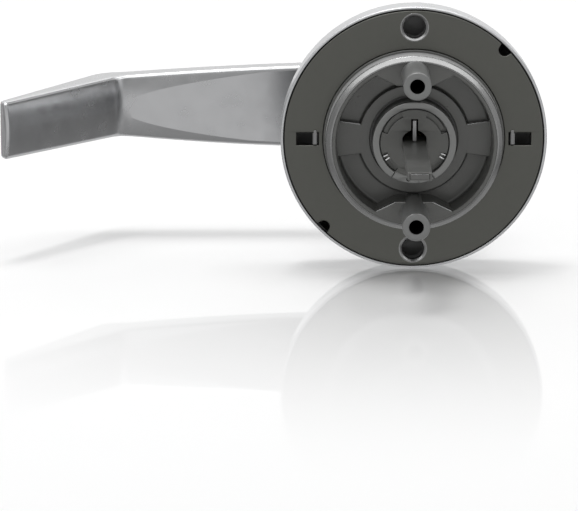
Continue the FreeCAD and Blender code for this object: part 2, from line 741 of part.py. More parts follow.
def return_spring():
    """Torsion spring round the sleeve, one leg on the far stop pin, one on the drive pin."""
    wire, coil, reach, touch = numbers(
        "spring_wire", "spring_coil", "spring_leg_reach", "spring_touch")
    low = floor_y.value + numbers("bush_flange")[0] + 2 * size("side_gap").value
    low += size("ring_thickness").value + wire + touch
    high = size("collar_y").value - wire - touch
    fixed = far_stop_angle.value - swept(
        size("stop_circle"), size("stop_radius") + size("spring_wire") + size("spring_touch")).value
    moving = size("lug_angle").value + swept(
        size("drive_circle"), size("drive_radius") + size("spring_wire") + size("spring_touch")).value
    turn = 360 + fixed - moving
    helix = Part.makeHelix((high - low) * 360 / turn, high - low, coil)
    section = Part.Wire(Part.makeCircle(wire, Vector(coil, 0, 0), Vector(0, 1, 0)))
    solid = Part.Wire(helix.Edges).makePipeShell([section], True, True)
    legs = []
    for height, angle in ((0, 0), (high - low, turn)):
        x = math.cos(math.radians(angle))
        y = math.sin(math.radians(angle))
        start = Vector(coil * x, coil * y, height)
        legs.append(Part.makeCylinder(wire, reach - coil, start, Vector(x, y, 0)))
        legs.append(Part.makeSphere(wire, start))
    solid = solid.fuse(legs).removeSplitter()
    solid.rotate(Vector(0, 0, 0), Vector(1, 0, 0), ALONG_Y)
    solid.rotate(Vector(0, 0, 0), Vector(0, 1, 0), -fixed)
    solid.translate(Vector(0, low, 0))
    group("return_spring", [solid])


def rose_clip(name, side):
    """Forked spring clip behind the plate; its tab stands in the plate's slot."""
    made = body(name)
    back = size("plate_thickness")
    near = (slot_inner + size("clip_offset")) * side
    tab_far = near + size("clip_tab") * side
    half = size("clip_half_width")
    inner = half - size("clip_leg")
    reach = (cover_inside - size("clip_hook_gap")) * side
    hook_near = reach - size("clip_thickness") * side
    tab_half = size("slot_half_height") - size("clip_gap")
    strip_y = back + size("clip_thickness")

    def fork(drawn):
        outline(drawn, [
            (near, -half), (reach, -half), (reach, -inner), (tab_far, -inner),
            (tab_far, inner), (reach, inner), (reach, half), (near, half),
        ])

    def tab(drawn):
        outline(drawn, [(near, -tab_half), (tab_far, -tab_half), (tab_far, tab_half), (near, tab_half)])

    def hooks(drawn):
        for end in (1, -1):
            outline(drawn, [
                (hook_near, inner * end), (reach, inner * end),
                (reach, half * end), (hook_near, half * end),
            ])

    block(made, back, strip_y, fork)
    block(made, size("clip_gap"), strip_y, tab)
    block(made, back, strip_y + size("clip_hook"), hooks)


def spindle_sleeve():
    """Tube with a collar, a stop lug, a ring groove, a lug notch and a catch hole."""
    door = -size("sleeve_end")
    groove = floor_y + size("bush_flange") + size("side_gap")
    groove_end = groove + size("ring_thickness") + size("side_gap") * 2
    made = turned("spindle_sleeve", [
        (size("sleeve_bore"), door),
        (size("sleeve_radius"), door),
        (size("sleeve_radius"), groove),
        (size("ring_seat"), groove),
        (size("ring_seat"), groove_end),
        (size("sleeve_radius"), groove_end),
        (size("sleeve_radius"), size("collar_y")),
        (size("collar_radius"), size("collar_y")),
        (size("collar_radius"), collar_front),
        (size("sleeve_radius"), collar_front),
        (size("sleeve_radius"), size("sleeve_front_y")),
        (size("sleeve_bore"), size("sleeve_front_y")),
    ])
    lug_foot = (size("sleeve_bore") + size("sleeve_radius")) / 2
    block(made, size("collar_y"), collar_front, lambda drawn: outline(drawn, sector(
        lug_foot, size("lug_reach"), size("lug_angle"), size("lug_half"))))
    notch_back = ring_back + size("side_gap")
    cut(made, door, notch_back, lambda drawn: outline(drawn, sector(
        size("sleeve_bore") - BEYOND, size("sleeve_radius") + BEYOND,
        size("ring_lug_turn"), size("ring_lug_half") + size("lug_notch_gap"), 6)))
    drilled = sketch(made, "XY_Plane", -(size("sleeve_radius") + BEYOND))
    circle(drilled, size("catch_radius") + size("catch_gap"), 0, size("catch_y"))
    pocket(made, drilled, size("sleeve_radius") - size("sleeve_bore") + BEYOND * 2, reverse=True)


def split_ring(name, y_door, thickness, inner, outer, gap_angle, gap_half):
    """A flat ring with an opening."""
    made = body(name)

    def ring(drawn):
        circle(drawn, outer)
        circle(drawn, inner)

    block(made, y_door, as_size(y_door) + thickness, ring)
    opening = sector(inner - BEYOND, outer + BEYOND, gap_angle, gap_half, 2)
    cut(made, as_size(y_door) - BEYOND, as_size(y_door) + thickness + BEYOND,
        lambda drawn: outline(drawn, opening))
    return made


def hub_ring():
    """Retaining ring of the driver: widest at the top, two lugs with plier holes below."""
    made = body("driver_ring")

    def ring(drawn):
        circle(drawn, size("hub_ring_outer"), 0, size("hub_ring_shift"))

    def lugs(drawn):
        outline(drawn, sector(
            size("hub_neck"), size("ring_lug_reach"), size("ring_lug_turn"), size("ring_lug_half"), 8))

    def openings(drawn):
        circle(drawn, size("hub_neck") + size("hub_ring_gap"))

    def gap(drawn):
        outline(drawn, sector(
            size("hub_neck") - 2, size("ring_lug_reach") + 2,
            size("ring_lug_turn"), size("ring_opening_half"), 2))

    def plier_holes(drawn):
        for side in (1, -1):
            angle = size("ring_lug_turn") + size("plier_hole_angle") * side
            circle(drawn, size("plier_hole_radius"), *polar(size("plier_hole_place"), angle))

    block(made, ring_face, ring_back, ring)
    block(made, ring_face, ring_back, lugs)
    cut(made, ring_face - BEYOND, ring_back + BEYOND, openings)
    cut(made, ring_face - BEYOND, ring_back + BEYOND, gap)
    cut(made, ring_face - BEYOND, ring_back + BEYOND, plier_holes)


def eye(drawn):
    """Round hole of the driver with the tailpiece's lower corners."""
    circle(drawn, size("eye_radius"))


def blade_slot(drawn):
    half, reach = size("blade_slot_half"), size("blade_slot_reach")
    outline(drawn, [(-half, 0), (half, 0), (half, reach), (-half, reach)])


def tail_seat(drawn):
    half, low = size("tail_half_width"), size("tail_bottom")
    outline(drawn, [(-half, low), (half, low), (half, 0), (-half, 0)])


def driver_disc():
    """Front plate of the driver with three ears."""
    made = body("driver_disc")
    back = disc_face + size("disc_thickness")

    def ears(drawn):
        for turn, half in ((0, "ear_half"), (90, "top_ear_half"), (180, "ear_half")):
            outline(drawn, sector(size("blade_slot_reach"), size("ear_radius"), turn, size(half)))

    block(made, disc_face, back, lambda drawn: circle(drawn, size("disc_radius")))
    block(made, disc_face, back, ears)
    for shape in (eye, blade_slot, tail_seat):
        cut(made, disc_face - BEYOND, back + BEYOND, shape)


def driver_hub():
    """Hub behind the disc: neck under the ring, then a body that fills the sleeve bore."""
    front = disc_face + size("disc_thickness")
    shoulder = ring_back + size("side_gap")
    back = shoulder + size("driver_depth")
    bearing = size("sleeve_bore") - size("running_gap")
    made = turned("driver_hub", [
        (0, front),
        (size("hub_neck"), front),
        (size("hub_neck"), shoulder),
        (bearing, shoulder),
        (bearing, back),
        (0, back),
    ])
    for shape in (eye, blade_slot, tail_seat):
        cut(made, front - BEYOND, back + BEYOND, shape)


def tailpiece_channel():
    """Folded rectangular channel that reaches through the door."""
    made = body("tailpiece_channel")
    half, top, low = size("tail_half_width"), size("tail_top"), size("tail_bottom")
    side, wall = size("tail_side_wall"), size("tail_wall")
    root = ring_back + size("driver_depth")

    def outer(drawn):
        outline(drawn, [(-half, low), (half, low), (half, top), (-half, top)])

    def inner(drawn):
        x, a, b = half - side, low + wall, top - wall
        outline(drawn, [(-x, a), (x, a), (x, b), (-x, b)])

    block(made, -size("tail_end"), root, outer)
    cut(made, -size("tail_end") - BEYOND, root + BEYOND, inner)


def tailpiece_bar():
    """Solid bar inside the channel, its end a little proud."""
    made = body("tailpiece_bar")
    gap = size("tail_bar_gap")
    half = size("tail_half_width") - size("tail_side_wall") - gap
    low = size("tail_bottom") + size("tail_wall") + gap
    top = size("tail_top") - size("tail_wall") - gap
    end = -(size("tail_end") + size("tail_bar_proud"))
    root = ring_back + size("driver_depth")
    block(made, end, root, lambda drawn: outline(
        drawn, [(-half, low), (half, low), (half, top), (-half, top)]))


def cylinder_blade():
    """Flat blade from the plug to the driver, its lower half cut short of the tailpiece."""
    made = body("cylinder_blade")
    thin, wide = size("blade_half_thickness"), size("blade_half_width")
    tip, low = size("blade_tip_height"), size("blade_tip_low")
    step = ring_back + size("driver_depth") + size("blade_tip_low") * 2
    root = size("cylinder_back_y") - size("side_gap")
    door = disc_face - size("side_gap")
    block(made, step, root, lambda drawn: outline(
        drawn, [(-thin, -wide), (thin, -wide), (thin, wide), (-thin, wide)]))
    block(made, door, step + BEYOND, lambda drawn: outline(
        drawn, [(-thin, low), (thin, low), (thin, tip), (-thin, tip)]))


def lever_catch():
    """Radial pin that locks the lever on the sleeve."""
    made = body("lever_catch")
    tip = sketch(made, "XY_Plane", -size("catch_tip"))
    circle(tip, size("catch_radius"), 0, size("catch_y"))
    pad(made, tip, size("catch_tip") - size("catch_seat"))
    head = sketch(made, "XY_Plane", -size("catch_seat"))
    circle(head, size("catch_head_radius"), 0, size("catch_y"))
    pad(made, head, size("catch_head"))


def catch_spring():
    """Open ring of strip that pushes the catch out."""
    made = body("catch_spring")
    top = size("sleeve_bore") - size("catch_spring_gap")
    low = -(size("catch_seat") - size("catch_head"))
    radius = (top - low) / 2
    centre = (top + low) / 2
    half = size("catch_spring_half")
    y_door, y_out = size("catch_y") - half, size("catch_y") + half

    def ring(drawn):
        circle(drawn, radius, 0, centre)
        circle(drawn, radius - size("catch_spring_wall"), 0, centre)

    def opening(drawn):
        gap = size("catch_spring_opening")
        outline(drawn, [
            (radius - gap, -gap), (radius + BEYOND, -gap), (radius + BEYOND, gap), (radius - gap, gap)])

    block(made, y_door, y_out, ring)
    cut(made, y_door - BEYOND, y_out + BEYOND, opening)


def lever():
    """Cast lever: tapered shank and return with a crowned back, then the neck and head."""
    made = body("lever")
    root, end = -size("shank_root"), -size("shank_end")
    back = size("shank_back_y")
    angle, length = size("return_angle"), size("return_length")
    plan = sketch(made, "XY_Plane")
    outline(plan, [
        (root, back + size("shank_slope")),
        (end, back),
        (end - length * cosine(angle), back - length * sine(angle)),
        (-size("tip_outer"), size("tip_outer_y")),
        (-size("shank_front_bend"), size("shank_front_y")),
        (root, size("front_y") - size("front_bevel")),
    ])
    pad(made, plan, size("head_radius") * 2, midplane=True)

    def bend_edge(edge):
        centre = edge.CenterOfMass
        return abs(centre.x + size("shank_front_bend").value) < 0.1 and abs(
            centre.y - size("shank_front_y").value) < 0.1

    fillet(made, size("outer_bend"), bend_edge)
    far = -(size("tip_outer") + 5)
    beyond = size("head_radius") + 5

    def long_edge(edge):
        ends = [vertex.Point for vertex in edge.Vertexes]
        if len(ends) != 2:
            return False
        first, last = ends
        return first.z * last.z > 0 and abs(first.x - last.x) > SHORT_EDGE

    def wedges(drawn):
        for side, at_root, at_bend, at_tip, bow in (
            (1, "shank_top_root", "shank_top_bend", "tip_top", "shank_top_bow"),
            (-1, "shank_bottom_root", "shank_bottom_bend", "tip_bottom", "shank_bottom_bow"),
        ):
            outline(drawn, bowed(
                (0, size(at_root) * side), (end, size(at_bend) * side), size(bow) * side) + [
                (far, size(at_tip) * side),
                (far, beyond * side),
                (0, beyond * side),
            ])

    cut(made, -5, size("front_y") + 5, wedges)
    doc.recompute()
    fillet(made, size("lever_edge"), long_edge)
    shank_crown = sketch(made, "YZ_Plane")
    crown, middle = size("crown_radius"), size("crown_mid")
    half = size("head_radius")
    arc_face(shank_crown, crown, back + crown, middle, half)
    pocket(made, shank_crown, size("shank_end") + size("crown_overlap"))
    return_crown = sketch(made, "YZ_Plane")
    return_crown.AttachmentOffset = FreeCAD.Placement(
        Vector(0, 0, 0), FreeCAD.Rotation(Vector(0, 1, 0), angle.value))
    start = size("crown_overlap")
    bind(return_crown, "AttachmentOffset.Rotation.Angle", angle)
    bind(return_crown, "AttachmentOffset.Base.x", back + start * sine(angle))
    bind(return_crown, "AttachmentOffset.Base.z", end + start * cosine(angle))
    arc_face(return_crown, crown, crown, middle, half)
    pocket(made, return_crown, length + start * 4)

    bore = size("sleeve_radius") + size("lever_bore_gap")
    bevel = size("front_bevel")
    turn(made, [
        (bore, size("neck_y")),
        (size("neck_foot_radius"), size("neck_y")),
        (size("neck_foot_radius"), size("neck_foot_y") - bevel),
        (size("neck_radius"), size("neck_foot_y")),
        (size("neck_radius"), size("head_y")),
        (size("head_radius"), size("head_full_y")),
        (size("head_radius"), size("front_y") - bevel),
        (size("head_radius") - bevel, size("front_y")),
        (0, size("front_y")),
        (0, size("cavity_y")),
        (bore, size("cavity_y")),
    ])
    lever_cavity(made)


def lever_cavity(made):
    """Opens the lever for the cylinder and the catch."""
    cavity = size("cylinder_radius") + size("cylinder_gap")
    back = size("cavity_y") - 0.5
    front = size("front_y") + 1
    cut(made, back, front, lambda drawn: circle(drawn, cavity))
    half = size("tower_half") + size("cylinder_gap")
    top = size("tower_top") + size("cylinder_gap")
    cut(made, back, front, lambda drawn: outline(
        drawn, [(-half, 0), (half, 0), (half, top), (-half, top)]))
    drilled = sketch(made, "XY_Plane", -(size("head_radius") + BEYOND))
    circle(drilled, size("catch_radius") + size("catch_gap"), 0, size("catch_y"))
    pocket(made, drilled, size("head_radius") - size("sleeve_radius") + BEYOND * 2, reverse=True)


def chamber_places():
    """Places of the tumblers along the axis."""
    first = cylinder_face - size("pin_first")
    return [first - size("pin_pitch") * k for k in range(PIN_COUNT)]


def chambers(owner, low, high):
    """Drills the tumbler chambers upwards from low to high."""
    made = sketch(owner, "XY_Plane", low)
    for y in chamber_places():
        circle(made, size("pin_radius") + size("pin_gap"), 0, y)
    pocket(owner, made, as_size(high) - low, reverse=True)


def cylinder_body():
    """Shell of the key cylinder with its pin tower."""
    made = body("cylinder_shell")
    back = size("cylinder_back_y")
    half, top = size("tower_half"), size("tower_top")
    bore = size("plug_radius") + size("plug_gap")
    face_bore = size("plug_collar") + size("plug_gap")
    step = cylinder_face - size("plug_collar_depth") - size("side_gap")
    block(made, back, cylinder_face, lambda drawn: circle(drawn, size("cylinder_radius")))
    block(made, back, cylinder_face, lambda drawn: outline(
        drawn, [(-half, 0), (half, 0), (half, top), (-half, top)]))
    cut(made, back - BEYOND, cylinder_face + BEYOND, lambda drawn: circle(drawn, bore))
    cut(made, step, cylinder_face + BEYOND, lambda drawn: circle(drawn, face_bore))
    chambers(made, size("plug_radius") - 1, size("tower_top") - size("tower_cap"))


def cylinder_plug():
    """Plug with a keyway and the lower halves of the tumbler chambers."""
    step = cylinder_face - size("plug_collar_depth")
    made = turned("cylinder_plug", [
        (0, size("cylinder_back_y")),
        (size("plug_radius"), size("cylinder_back_y")),
        (size("plug_radius"), step),
        (size("plug_collar"), step),
        (size("plug_collar"), cylinder_face),
        (0, cylinder_face),
    ])
    half = size("keyway_half")
    top, low = size("keyway_top"), -size("keyway_bottom")
    cut(made, size("cylinder_back_y") + size("keyway_web"), cylinder_face + BEYOND, lambda drawn: outline(
        drawn, [(-half, low), (half, low), (half, top), (-half, top)]))
    chambers(made, size("key_pin_low") - size("pin_split"), size("plug_radius") + BEYOND)


def pins_between(name, low, high, radius, bore=None):
    """One row of tumbler pins or springs."""
    shapes = []
    for y in chamber_places():
        pin = Part.makeCylinder(radius, high - low, Vector(0, y.value, low))
        if bore is not None:
            hole = Part.makeCylinder(bore, high - low, Vector(0, y.value, low))
            pin = pin.cut(hole)
        shapes.append(pin)
    group(name, shapes)


def tumblers():
    """Key pins in the plug, driver pins and springs in the tower."""
    radius, split, plug, wall = numbers("pin_radius", "pin_split", "plug_radius", "pin_spring_wall")
    shear = plug + size("plug_gap").value / 2
    meet = shear + split + size("driver_pin_length").value
    top = size("tower_top").value - size("tower_cap").value - split
    pins_between("key_pins", size("key_pin_low").value, plug - 2 * split, radius)
    pins_between("driver_pins", shear + split, meet, radius)
    pins_between("pin_springs", meet + split, top, radius, radius - wall)


def plug_cap():
    """Cap behind the plug, slotted for the blade."""
    back = size("cylinder_back_y")
    made = turned("plug_cap", [
        (0, back - size("cap_thickness")),
        (size("cap_radius"), back - size("cap_thickness")),
        (size("cap_radius"), back - size("side_gap")),
        (0, back - size("side_gap")),
    ])
    half = size("blade_half_thickness") + size("side_gap")
    wide = size("blade_half_width") + size("side_gap")
    cut(made, back - size("cap_thickness") - BEYOND, back + BEYOND, lambda drawn: outline(
        drawn, [(-half, -wide), (half, -wide), (half, wide), (-half, wide)]))


def washer():
    """Thrust washer between the collar and the cage cover."""
    inner = size("sleeve_radius") + size("running_gap") * 2
    low = collar_front + size("side_gap")
    high = low + size("washer_thickness")
    turned("thrust_washer", [
        (inner, low), (size("washer_outer"), low), (size("washer_outer"), high), (inner, high),
    ])


def drive_pin():
    x, z = polar(size("drive_circle"), size("lug_angle"))
    rod("drive_pin", size("drive_radius"), size("drive_length"),
        x, size("collar_y") - size("drive_length"), z, ALONG_Y)


rose_cover()
mounting_plate()
spring_housing()
post("upper_post", 1)
post("lower_post", -1)
housing_bush()
cage_cover()
cage_screws()
stop_pins()
return_spring()
rose_clip("right_rose_clip", 1)
rose_clip("left_rose_clip", -1)
spindle_sleeve()
split_ring("sleeve_ring", floor_y + size("bush_flange") + size("side_gap") * 2, size("ring_thickness"),
           size("ring_seat") + size("running_gap"), size("ring_outer"), 150, size("ring_gap_half"))
washer()
drive_pin()
hub_ring()
driver_disc()
driver_hub()
tailpiece_channel()
tailpiece_bar()
lever()
lever_catch()
catch_spring()
cylinder_body()
cylinder_plug()
plug_cap()
cylinder_blade()
tumblers()
doc.recompute()

for thing in doc.Objects:
    if "Invalid" in thing.State or "Error" in thing.State:
        raise RuntimeError(f"{thing.Label} did not build: {thing.State}")

PIECE_TYPES = ("PartDesign::Body", "Part::Feature", "Part::Cylinder")
pieces = [thing for thing in doc.Objects if thing.TypeId in PIECE_TYPES]
for piece in pieces:
    if piece.Shape.isNull() or not piece.Shape.isValid():
        raise RuntimeError(f"{piece.Label} has no valid shape")

os.makedirs("parts", exist_ok=True)
for piece in pieces:
    piece.Shape.exportStep(os.path.join("parts", f"{piece.Label}.step"))
    print(f"{piece.Label}: {len(piece.Shape.Solids)} solids, {piece.Shape.Volume:.0f} mm3")
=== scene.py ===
import logging
import math
from dataclasses import dataclass
from enum import Enum

import bmesh
import bpy
import numpy as np
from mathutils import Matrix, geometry


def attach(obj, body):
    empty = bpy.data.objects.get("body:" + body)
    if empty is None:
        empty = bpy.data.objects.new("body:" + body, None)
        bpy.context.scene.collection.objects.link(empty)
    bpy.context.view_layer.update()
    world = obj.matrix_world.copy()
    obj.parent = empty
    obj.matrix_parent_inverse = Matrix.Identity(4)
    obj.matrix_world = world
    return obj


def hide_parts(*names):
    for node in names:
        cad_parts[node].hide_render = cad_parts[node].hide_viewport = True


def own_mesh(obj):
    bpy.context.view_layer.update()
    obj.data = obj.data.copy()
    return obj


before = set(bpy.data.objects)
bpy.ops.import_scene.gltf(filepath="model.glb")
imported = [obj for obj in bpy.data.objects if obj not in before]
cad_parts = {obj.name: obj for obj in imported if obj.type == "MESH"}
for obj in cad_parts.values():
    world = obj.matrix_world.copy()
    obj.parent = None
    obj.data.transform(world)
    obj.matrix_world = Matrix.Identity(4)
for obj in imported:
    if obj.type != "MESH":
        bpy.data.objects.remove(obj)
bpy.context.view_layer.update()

MM = 0.001
FRAME_WIDTH = 578
FOCAL_PIXELS = 3505.0
SENSOR_MM = 36.0
FLOOR_Z = -0.0405
WELD_M = 1e-7
SLIVER_M = 1e-8
FLAT_NORMAL = 0.99999
UPPER_LOWER = (("upper", 1), ("lower", -1))
RIGHT_LEFT = (("right", 1), ("left", -1))
Object = bpy.types.Object
Node = bpy.types.Node
Socket = bpy.types.NodeSocket
Array = np.ndarray
Pair = tuple[float, float]
Triple = tuple[float, float, float]

log = logging.getLogger("lever_trim")


# Arrays and meshes. Every length given to these functions is in millimetres.


def polar(radius: float | Array, angle: Array) -> Array:
    """Points at radius times cosine and sine of the angle, in radians."""
    return np.stack([radius * np.cos(angle), radius * np.sin(angle)], -1)


def rounded(points: list | Array, radii: list | Array, steps: int = 5) -> Array:
    """Rounds the corners of closed polygons.

    At each corner the two edge directions give the half angle. The arc's centre lies on their
    bisector at radius over sine of the half angle, and the arc runs between the tangent points.

    Args:
        points: corners, shape (..., n, 2).
        radii: one radius per corner, shape (n,).
        steps: chords per arc.

    Returns:
        Points of shape (..., n * (steps + 1), 2); a corner of radius 0 repeats its point.
    """
    points, radii = np.asarray(points, float), np.asarray(radii, float)
    before = np.roll(points, 1, axis=-2) - points
    after = np.roll(points, -1, axis=-2) - points
    before /= np.maximum(np.linalg.norm(before, axis=-1, keepdims=True), 1e-9)
    after /= np.maximum(np.linalg.norm(after, axis=-1, keepdims=True), 1e-9)
    half = np.arccos(np.clip((before * after).sum(-1), -1, 1)) / 2
    bisector = before + after
    size = np.linalg.norm(bisector, axis=-1, keepdims=True)
    bisector = np.where(size > 1e-6, bisector / np.maximum(size, 1e-6), 0.0)
    centre = points + bisector * (radii / np.maximum(np.sin(half), 1e-6))[..., None]
    reach = (radii / np.maximum(np.tan(half), 1e-6))[..., None]
    first = points + before * reach - centre
    last = points + after * reach - centre
    start = np.arctan2(first[..., 1], first[..., 0])
    end = np.arctan2(last[..., 1], last[..., 0])
    sweep = (end - start + np.pi) % (2 * np.pi) - np.pi
    angle = start[..., None] + sweep[..., None] * np.linspace(0, 1, steps + 1)
    made = centre[..., None, :] + polar(radii[:, None], angle)
    return made.reshape(*points.shape[:-2], -1, 2)


def circle(radius: float, x: float = 0.0, z: float = 0.0, count: int = 96) -> Array:
    """Points of a circle, at equal angle steps."""
    return polar(radius, np.linspace(0, 2 * np.pi, count, endpoint=False)) + [x, z]


def arc(radius: float, start: float, end: float, count: int) -> Array:
    """Points of an arc about the axis, between two angles in degrees from +X towards +Z."""
    return polar(radius, np.radians(np.linspace(start, end, count)))


def box(x0: float, z0: float, x1: float, z1: float, corner: float = 0.0) -> Array:
    """A rectangle with rounded corners."""
    corners = np.array([[x0, z0], [x1, z0], [x1, z1], [x0, z1]], float)
    return rounded(corners, [corner] * 4) if corner > 0 else corners


def tidy_loop(points: Array) -> Array:
    """Drops points that repeat the one before."""
    keep = np.linalg.norm(points - np.roll(points, 1, axis=0), axis=1) > 1e-4
    return points[keep]


def area(points: Array) -> float:
    """Signed area of a polygon: half the sum of cross products of neighbouring points."""
    after = np.roll(points, -1, axis=0)
    return float((points[:, 0] * after[:, 1] - after[:, 0] * points[:, 1]).sum() / 2)


def inset(points: Array, distance: float) -> Array:
    """Moves a closed polygon to its left by a distance, along the mitre of each corner.

    The mitre is the sum of the two edge normals over one plus their dot product.
    """
    along = np.roll(points, -1, axis=0) - points
    along /= np.linalg.norm(along, axis=1, keepdims=True)
    normal = np.stack([-along[:, 1], along[:, 0]], -1)
    other = np.roll(normal, 1, axis=0)
    spread = 1 + (normal * other).sum(1, keepdims=True)
    return points + distance * (normal + other) / np.maximum(spread, 0.3)


def grid_faces(rows: int, columns: int, wrap_rows: bool, offset: int = 0) -> Array:
    """Quads of a grid whose columns close on themselves."""
    row = np.arange(rows if wrap_rows else rows - 1)[:, None]
    column = np.arange(columns)[None, :]
    row_next = (row + 1) % rows
    column_next = (column + 1) % columns
    quads = np.stack([
        row * columns + column, row * columns + column_next,
        row_next * columns + column_next, row_next * columns + column,
    ], -1)
    return quads.reshape(-1, 4) + offset


def link(name: str, data: bpy.types.ID) -> Object:
    """An object that carries this data, linked to the scene."""
    obj = bpy.data.objects.new(name, data)
    bpy.context.scene.collection.objects.link(obj)
    return obj


def make_object(name: str, points: Array, faces: list, sharp: float = 40.0) -> Object:
    """A mesh object at the origin, welded, closed and with its faces outwards.

    Args:
        name: piece name.
        points: vertices in millimetres, shape (n, 3).
        faces: vertex indices.
        sharp: edges that turn by more than these degrees stay sharp.

    Returns:
        The object, linked to the scene.
    """
    mesh = bpy.data.meshes.new(name)
    mesh.from_pydata((points * MM).tolist(), [], faces)
    made = bmesh.new()
    made.from_mesh(mesh)
    bmesh.ops.remove_doubles(made, verts=made.verts, dist=WELD_M)
    bmesh.ops.dissolve_degenerate(made, dist=SLIVER_M, edges=made.edges)
    bmesh.ops.recalc_face_normals(made, faces=made.faces)
    made.to_mesh(mesh)
    made.free()
    normals = np.empty(len(mesh.polygons) * 3)
    mesh.polygons.foreach_get("normal", normals)
    mesh.polygons.foreach_set("use_smooth", np.abs(normals.reshape(-1, 3)[:, 1]) < FLAT_NORMAL)
    mesh.set_sharp_from_angle(angle=math.radians(sharp))
    obj = link(name, mesh)
    weigh = obj.modifiers.new("face_weights", "WEIGHTED_NORMAL")
    weigh.keep_sharp = True
    weigh.weight = 90
    return obj


def turned(name: str, profile: Array, x: float = 0.0, z: float = 0.0, closed: bool = True,
           segments: int = 144) -> Object:
    """A solid of revolution about an axis along Y.

    A point (radius, y) of the profile at angle t goes to (x + radius cos t, y, z + radius sin t).

    Args:
        name: piece name.
        profile: (radius, y) points.
        x: place of the axis.
        z: place of the axis.
        closed: whether the profile's last point joins its first.
        segments: steps round the axis.

    Returns:
        The object.
    """
    angle = np.linspace(0, 2 * np.pi, segments, endpoint=False)
    points = np.insert(polar(profile[:, :1], angle) + [x, z], 1, profile[:, 1:], axis=2)
    faces = grid_faces(len(profile), segments, closed).tolist()
    return make_object(name, points.reshape(-1, 3), faces)


def slab(name: str, loops: list, y_door: float, y_out: float, edge: float = 0.15,
         steps: int = 3) -> Object:
    """A flat piece cut to outlines in the XZ plane, with a fine rounding on every edge.

    Row k of a wall is the outline moved into the material by edge times (1 - sin a), at the face
    plus edge times (1 - cos a), with a from 0 to a right angle; the two faces are triangulated.

    Args:
        name: piece name.
        loops: outlines as (n, 2) arrays, the outside first and then the holes.
        y_door: face on the door side.
        y_out: the other face.
        edge: radius of the edge rounding.
        steps: chords of that rounding.

    Returns:
        The object.
    """
    bend = np.linspace(0, np.pi / 2, steps + 1)
    moved = edge * (1 - np.sin(bend))
    depth = edge * (1 - np.cos(bend))
    shift = np.concatenate([moved, moved[::-1]])
    height = np.concatenate([y_door + depth, (y_out - depth)[::-1]])
    points, faces, face_loops = [], [], []
    count = 0
    for index, raw in enumerate(loops):
        loop = tidy_loop(raw)
        if (area(loop) > 0) != (index == 0):
            loop = loop[::-1]
        rows = [inset(loop, distance) for distance in shift]
        size = len(loop)
        points += [np.insert(row, 1, y, axis=1) for row, y in zip(rows, height)]
        faces += grid_faces(len(rows), size, False, count).tolist()
        face_loops.append((rows[0], count, count + (len(rows) - 1) * size))
        count += len(rows) * size
    flat = [np.insert(loop, 2, 0.0, axis=1).tolist() for loop, _, _ in face_loops]
    triangles = np.array(geometry.tessellate_polygon(flat))
    for side in (1, 2):
        places = np.concatenate([np.arange(len(entry[0])) + entry[side] for entry in face_loops])
        faces += places[triangles].tolist()
    return make_object(name, np.concatenate(points), faces)


def loft(name: str, sections: Array, sharp: float = 40.0) -> Object:
    """A skin over closed sections, shape (rows, n, 3), with a face at each end."""
    rows, columns = sections.shape[:2]
    faces = grid_faces(rows, columns, False).tolist()
    faces += [list(range(columns)), list(range((rows - 1) * columns, rows * columns))]
    return make_object(name, sections.reshape(-1, 3), faces, sharp)


def coil(name: str, centre: Array, radius: float, wire: float, turns: int, length: float) -> Object:
    """Round wire in a helix along Z.

    The wire's centre is (radius cos t, radius sin t, length t / T); the ring of the section lies in
    the plane of the outward direction and the axis.
    """
    steps_per_turn = 28
    t = np.linspace(0, turns * 2 * np.pi, turns * steps_per_turn)[:, None]
    ring = np.linspace(0, 2 * np.pi, 10, endpoint=False)[None, :]
    reach = radius + wire * np.cos(ring)
    along = length * t / t[-1] + wire * np.sin(ring)
    return loft(name, np.stack([reach * np.cos(t), reach * np.sin(t), along], -1) + centre)


# Shader groups, built once and placed in each material with its own values.


class NodeBuilder:
    """Adds nodes to a tree and joins them."""

    def __init__(self, tree: bpy.types.NodeTree) -> None:
        """Keeps the tree."""
        self.tree = tree

    def add(self, kind: str, **given: object) -> Node:
        """A new node: small names are its properties, the others its inputs as feed takes them."""
        node = self.tree.nodes.new(kind if kind.startswith("NodeGroup") else f"ShaderNode{kind}")
        inputs = {}
        for name, value in given.items():
            if name[0].isupper() or name[1:].isdigit():
                inputs[name] = value
            else:
                setattr(node, name, value)
        return self.feed(node, **inputs)

    def feed(self, node: Node, **inputs: object) -> Node:
        """Sets inputs: an output socket is linked and a value is set.

        Args:
            node: the node.
            inputs: values or sockets by input name, with _ for a space, or by i and its number.

        Returns:
            The node.
        """
        for name, value in inputs.items():
            key = int(name[1:]) if name[0] == "i" and name[1:].isdigit() else name.replace("_", " ")
            socket = node.inputs[key]
            if isinstance(value, Socket):
                self.tree.links.new(value, socket)
            else:
                socket.default_value = value
        return node

    def math(self, operation: str, first: object, second: object = 0.0,
             clamp: bool = False) -> Socket:
        """The result of a Math node."""
        return self.add("Math", operation=operation, use_clamp=clamp, i0=first,
                        i1=second).outputs[0]

    def noise(self, vector: object, scale: object, detail: float = 3.0,
              rough: float = 0.55) -> Socket:
        """Noise value at a vector."""
        return self.add("TexNoise", Vector=vector, Scale=scale, Detail=detail,
                        Roughness=rough).outputs[0]


def new_group(name: str, inputs: dict, outputs: dict) -> NodeBuilder:
    """An empty shader group.

    Args:
        name: name of the group.
        inputs: socket name to (type, default).
        outputs: socket name to type.

    Returns:
        The builder of its tree.
    """
    tree = bpy.data.node_groups.new(name, "ShaderNodeTree")
    for title, (kind, value) in inputs.items():
        socket = tree.interface.new_socket(title, in_out="INPUT", socket_type=kind)
        socket.default_value = value
    for title, kind in outputs.items():
        tree.interface.new_socket(title, in_out="OUTPUT", socket_type=kind)
    return NodeBuilder(tree)


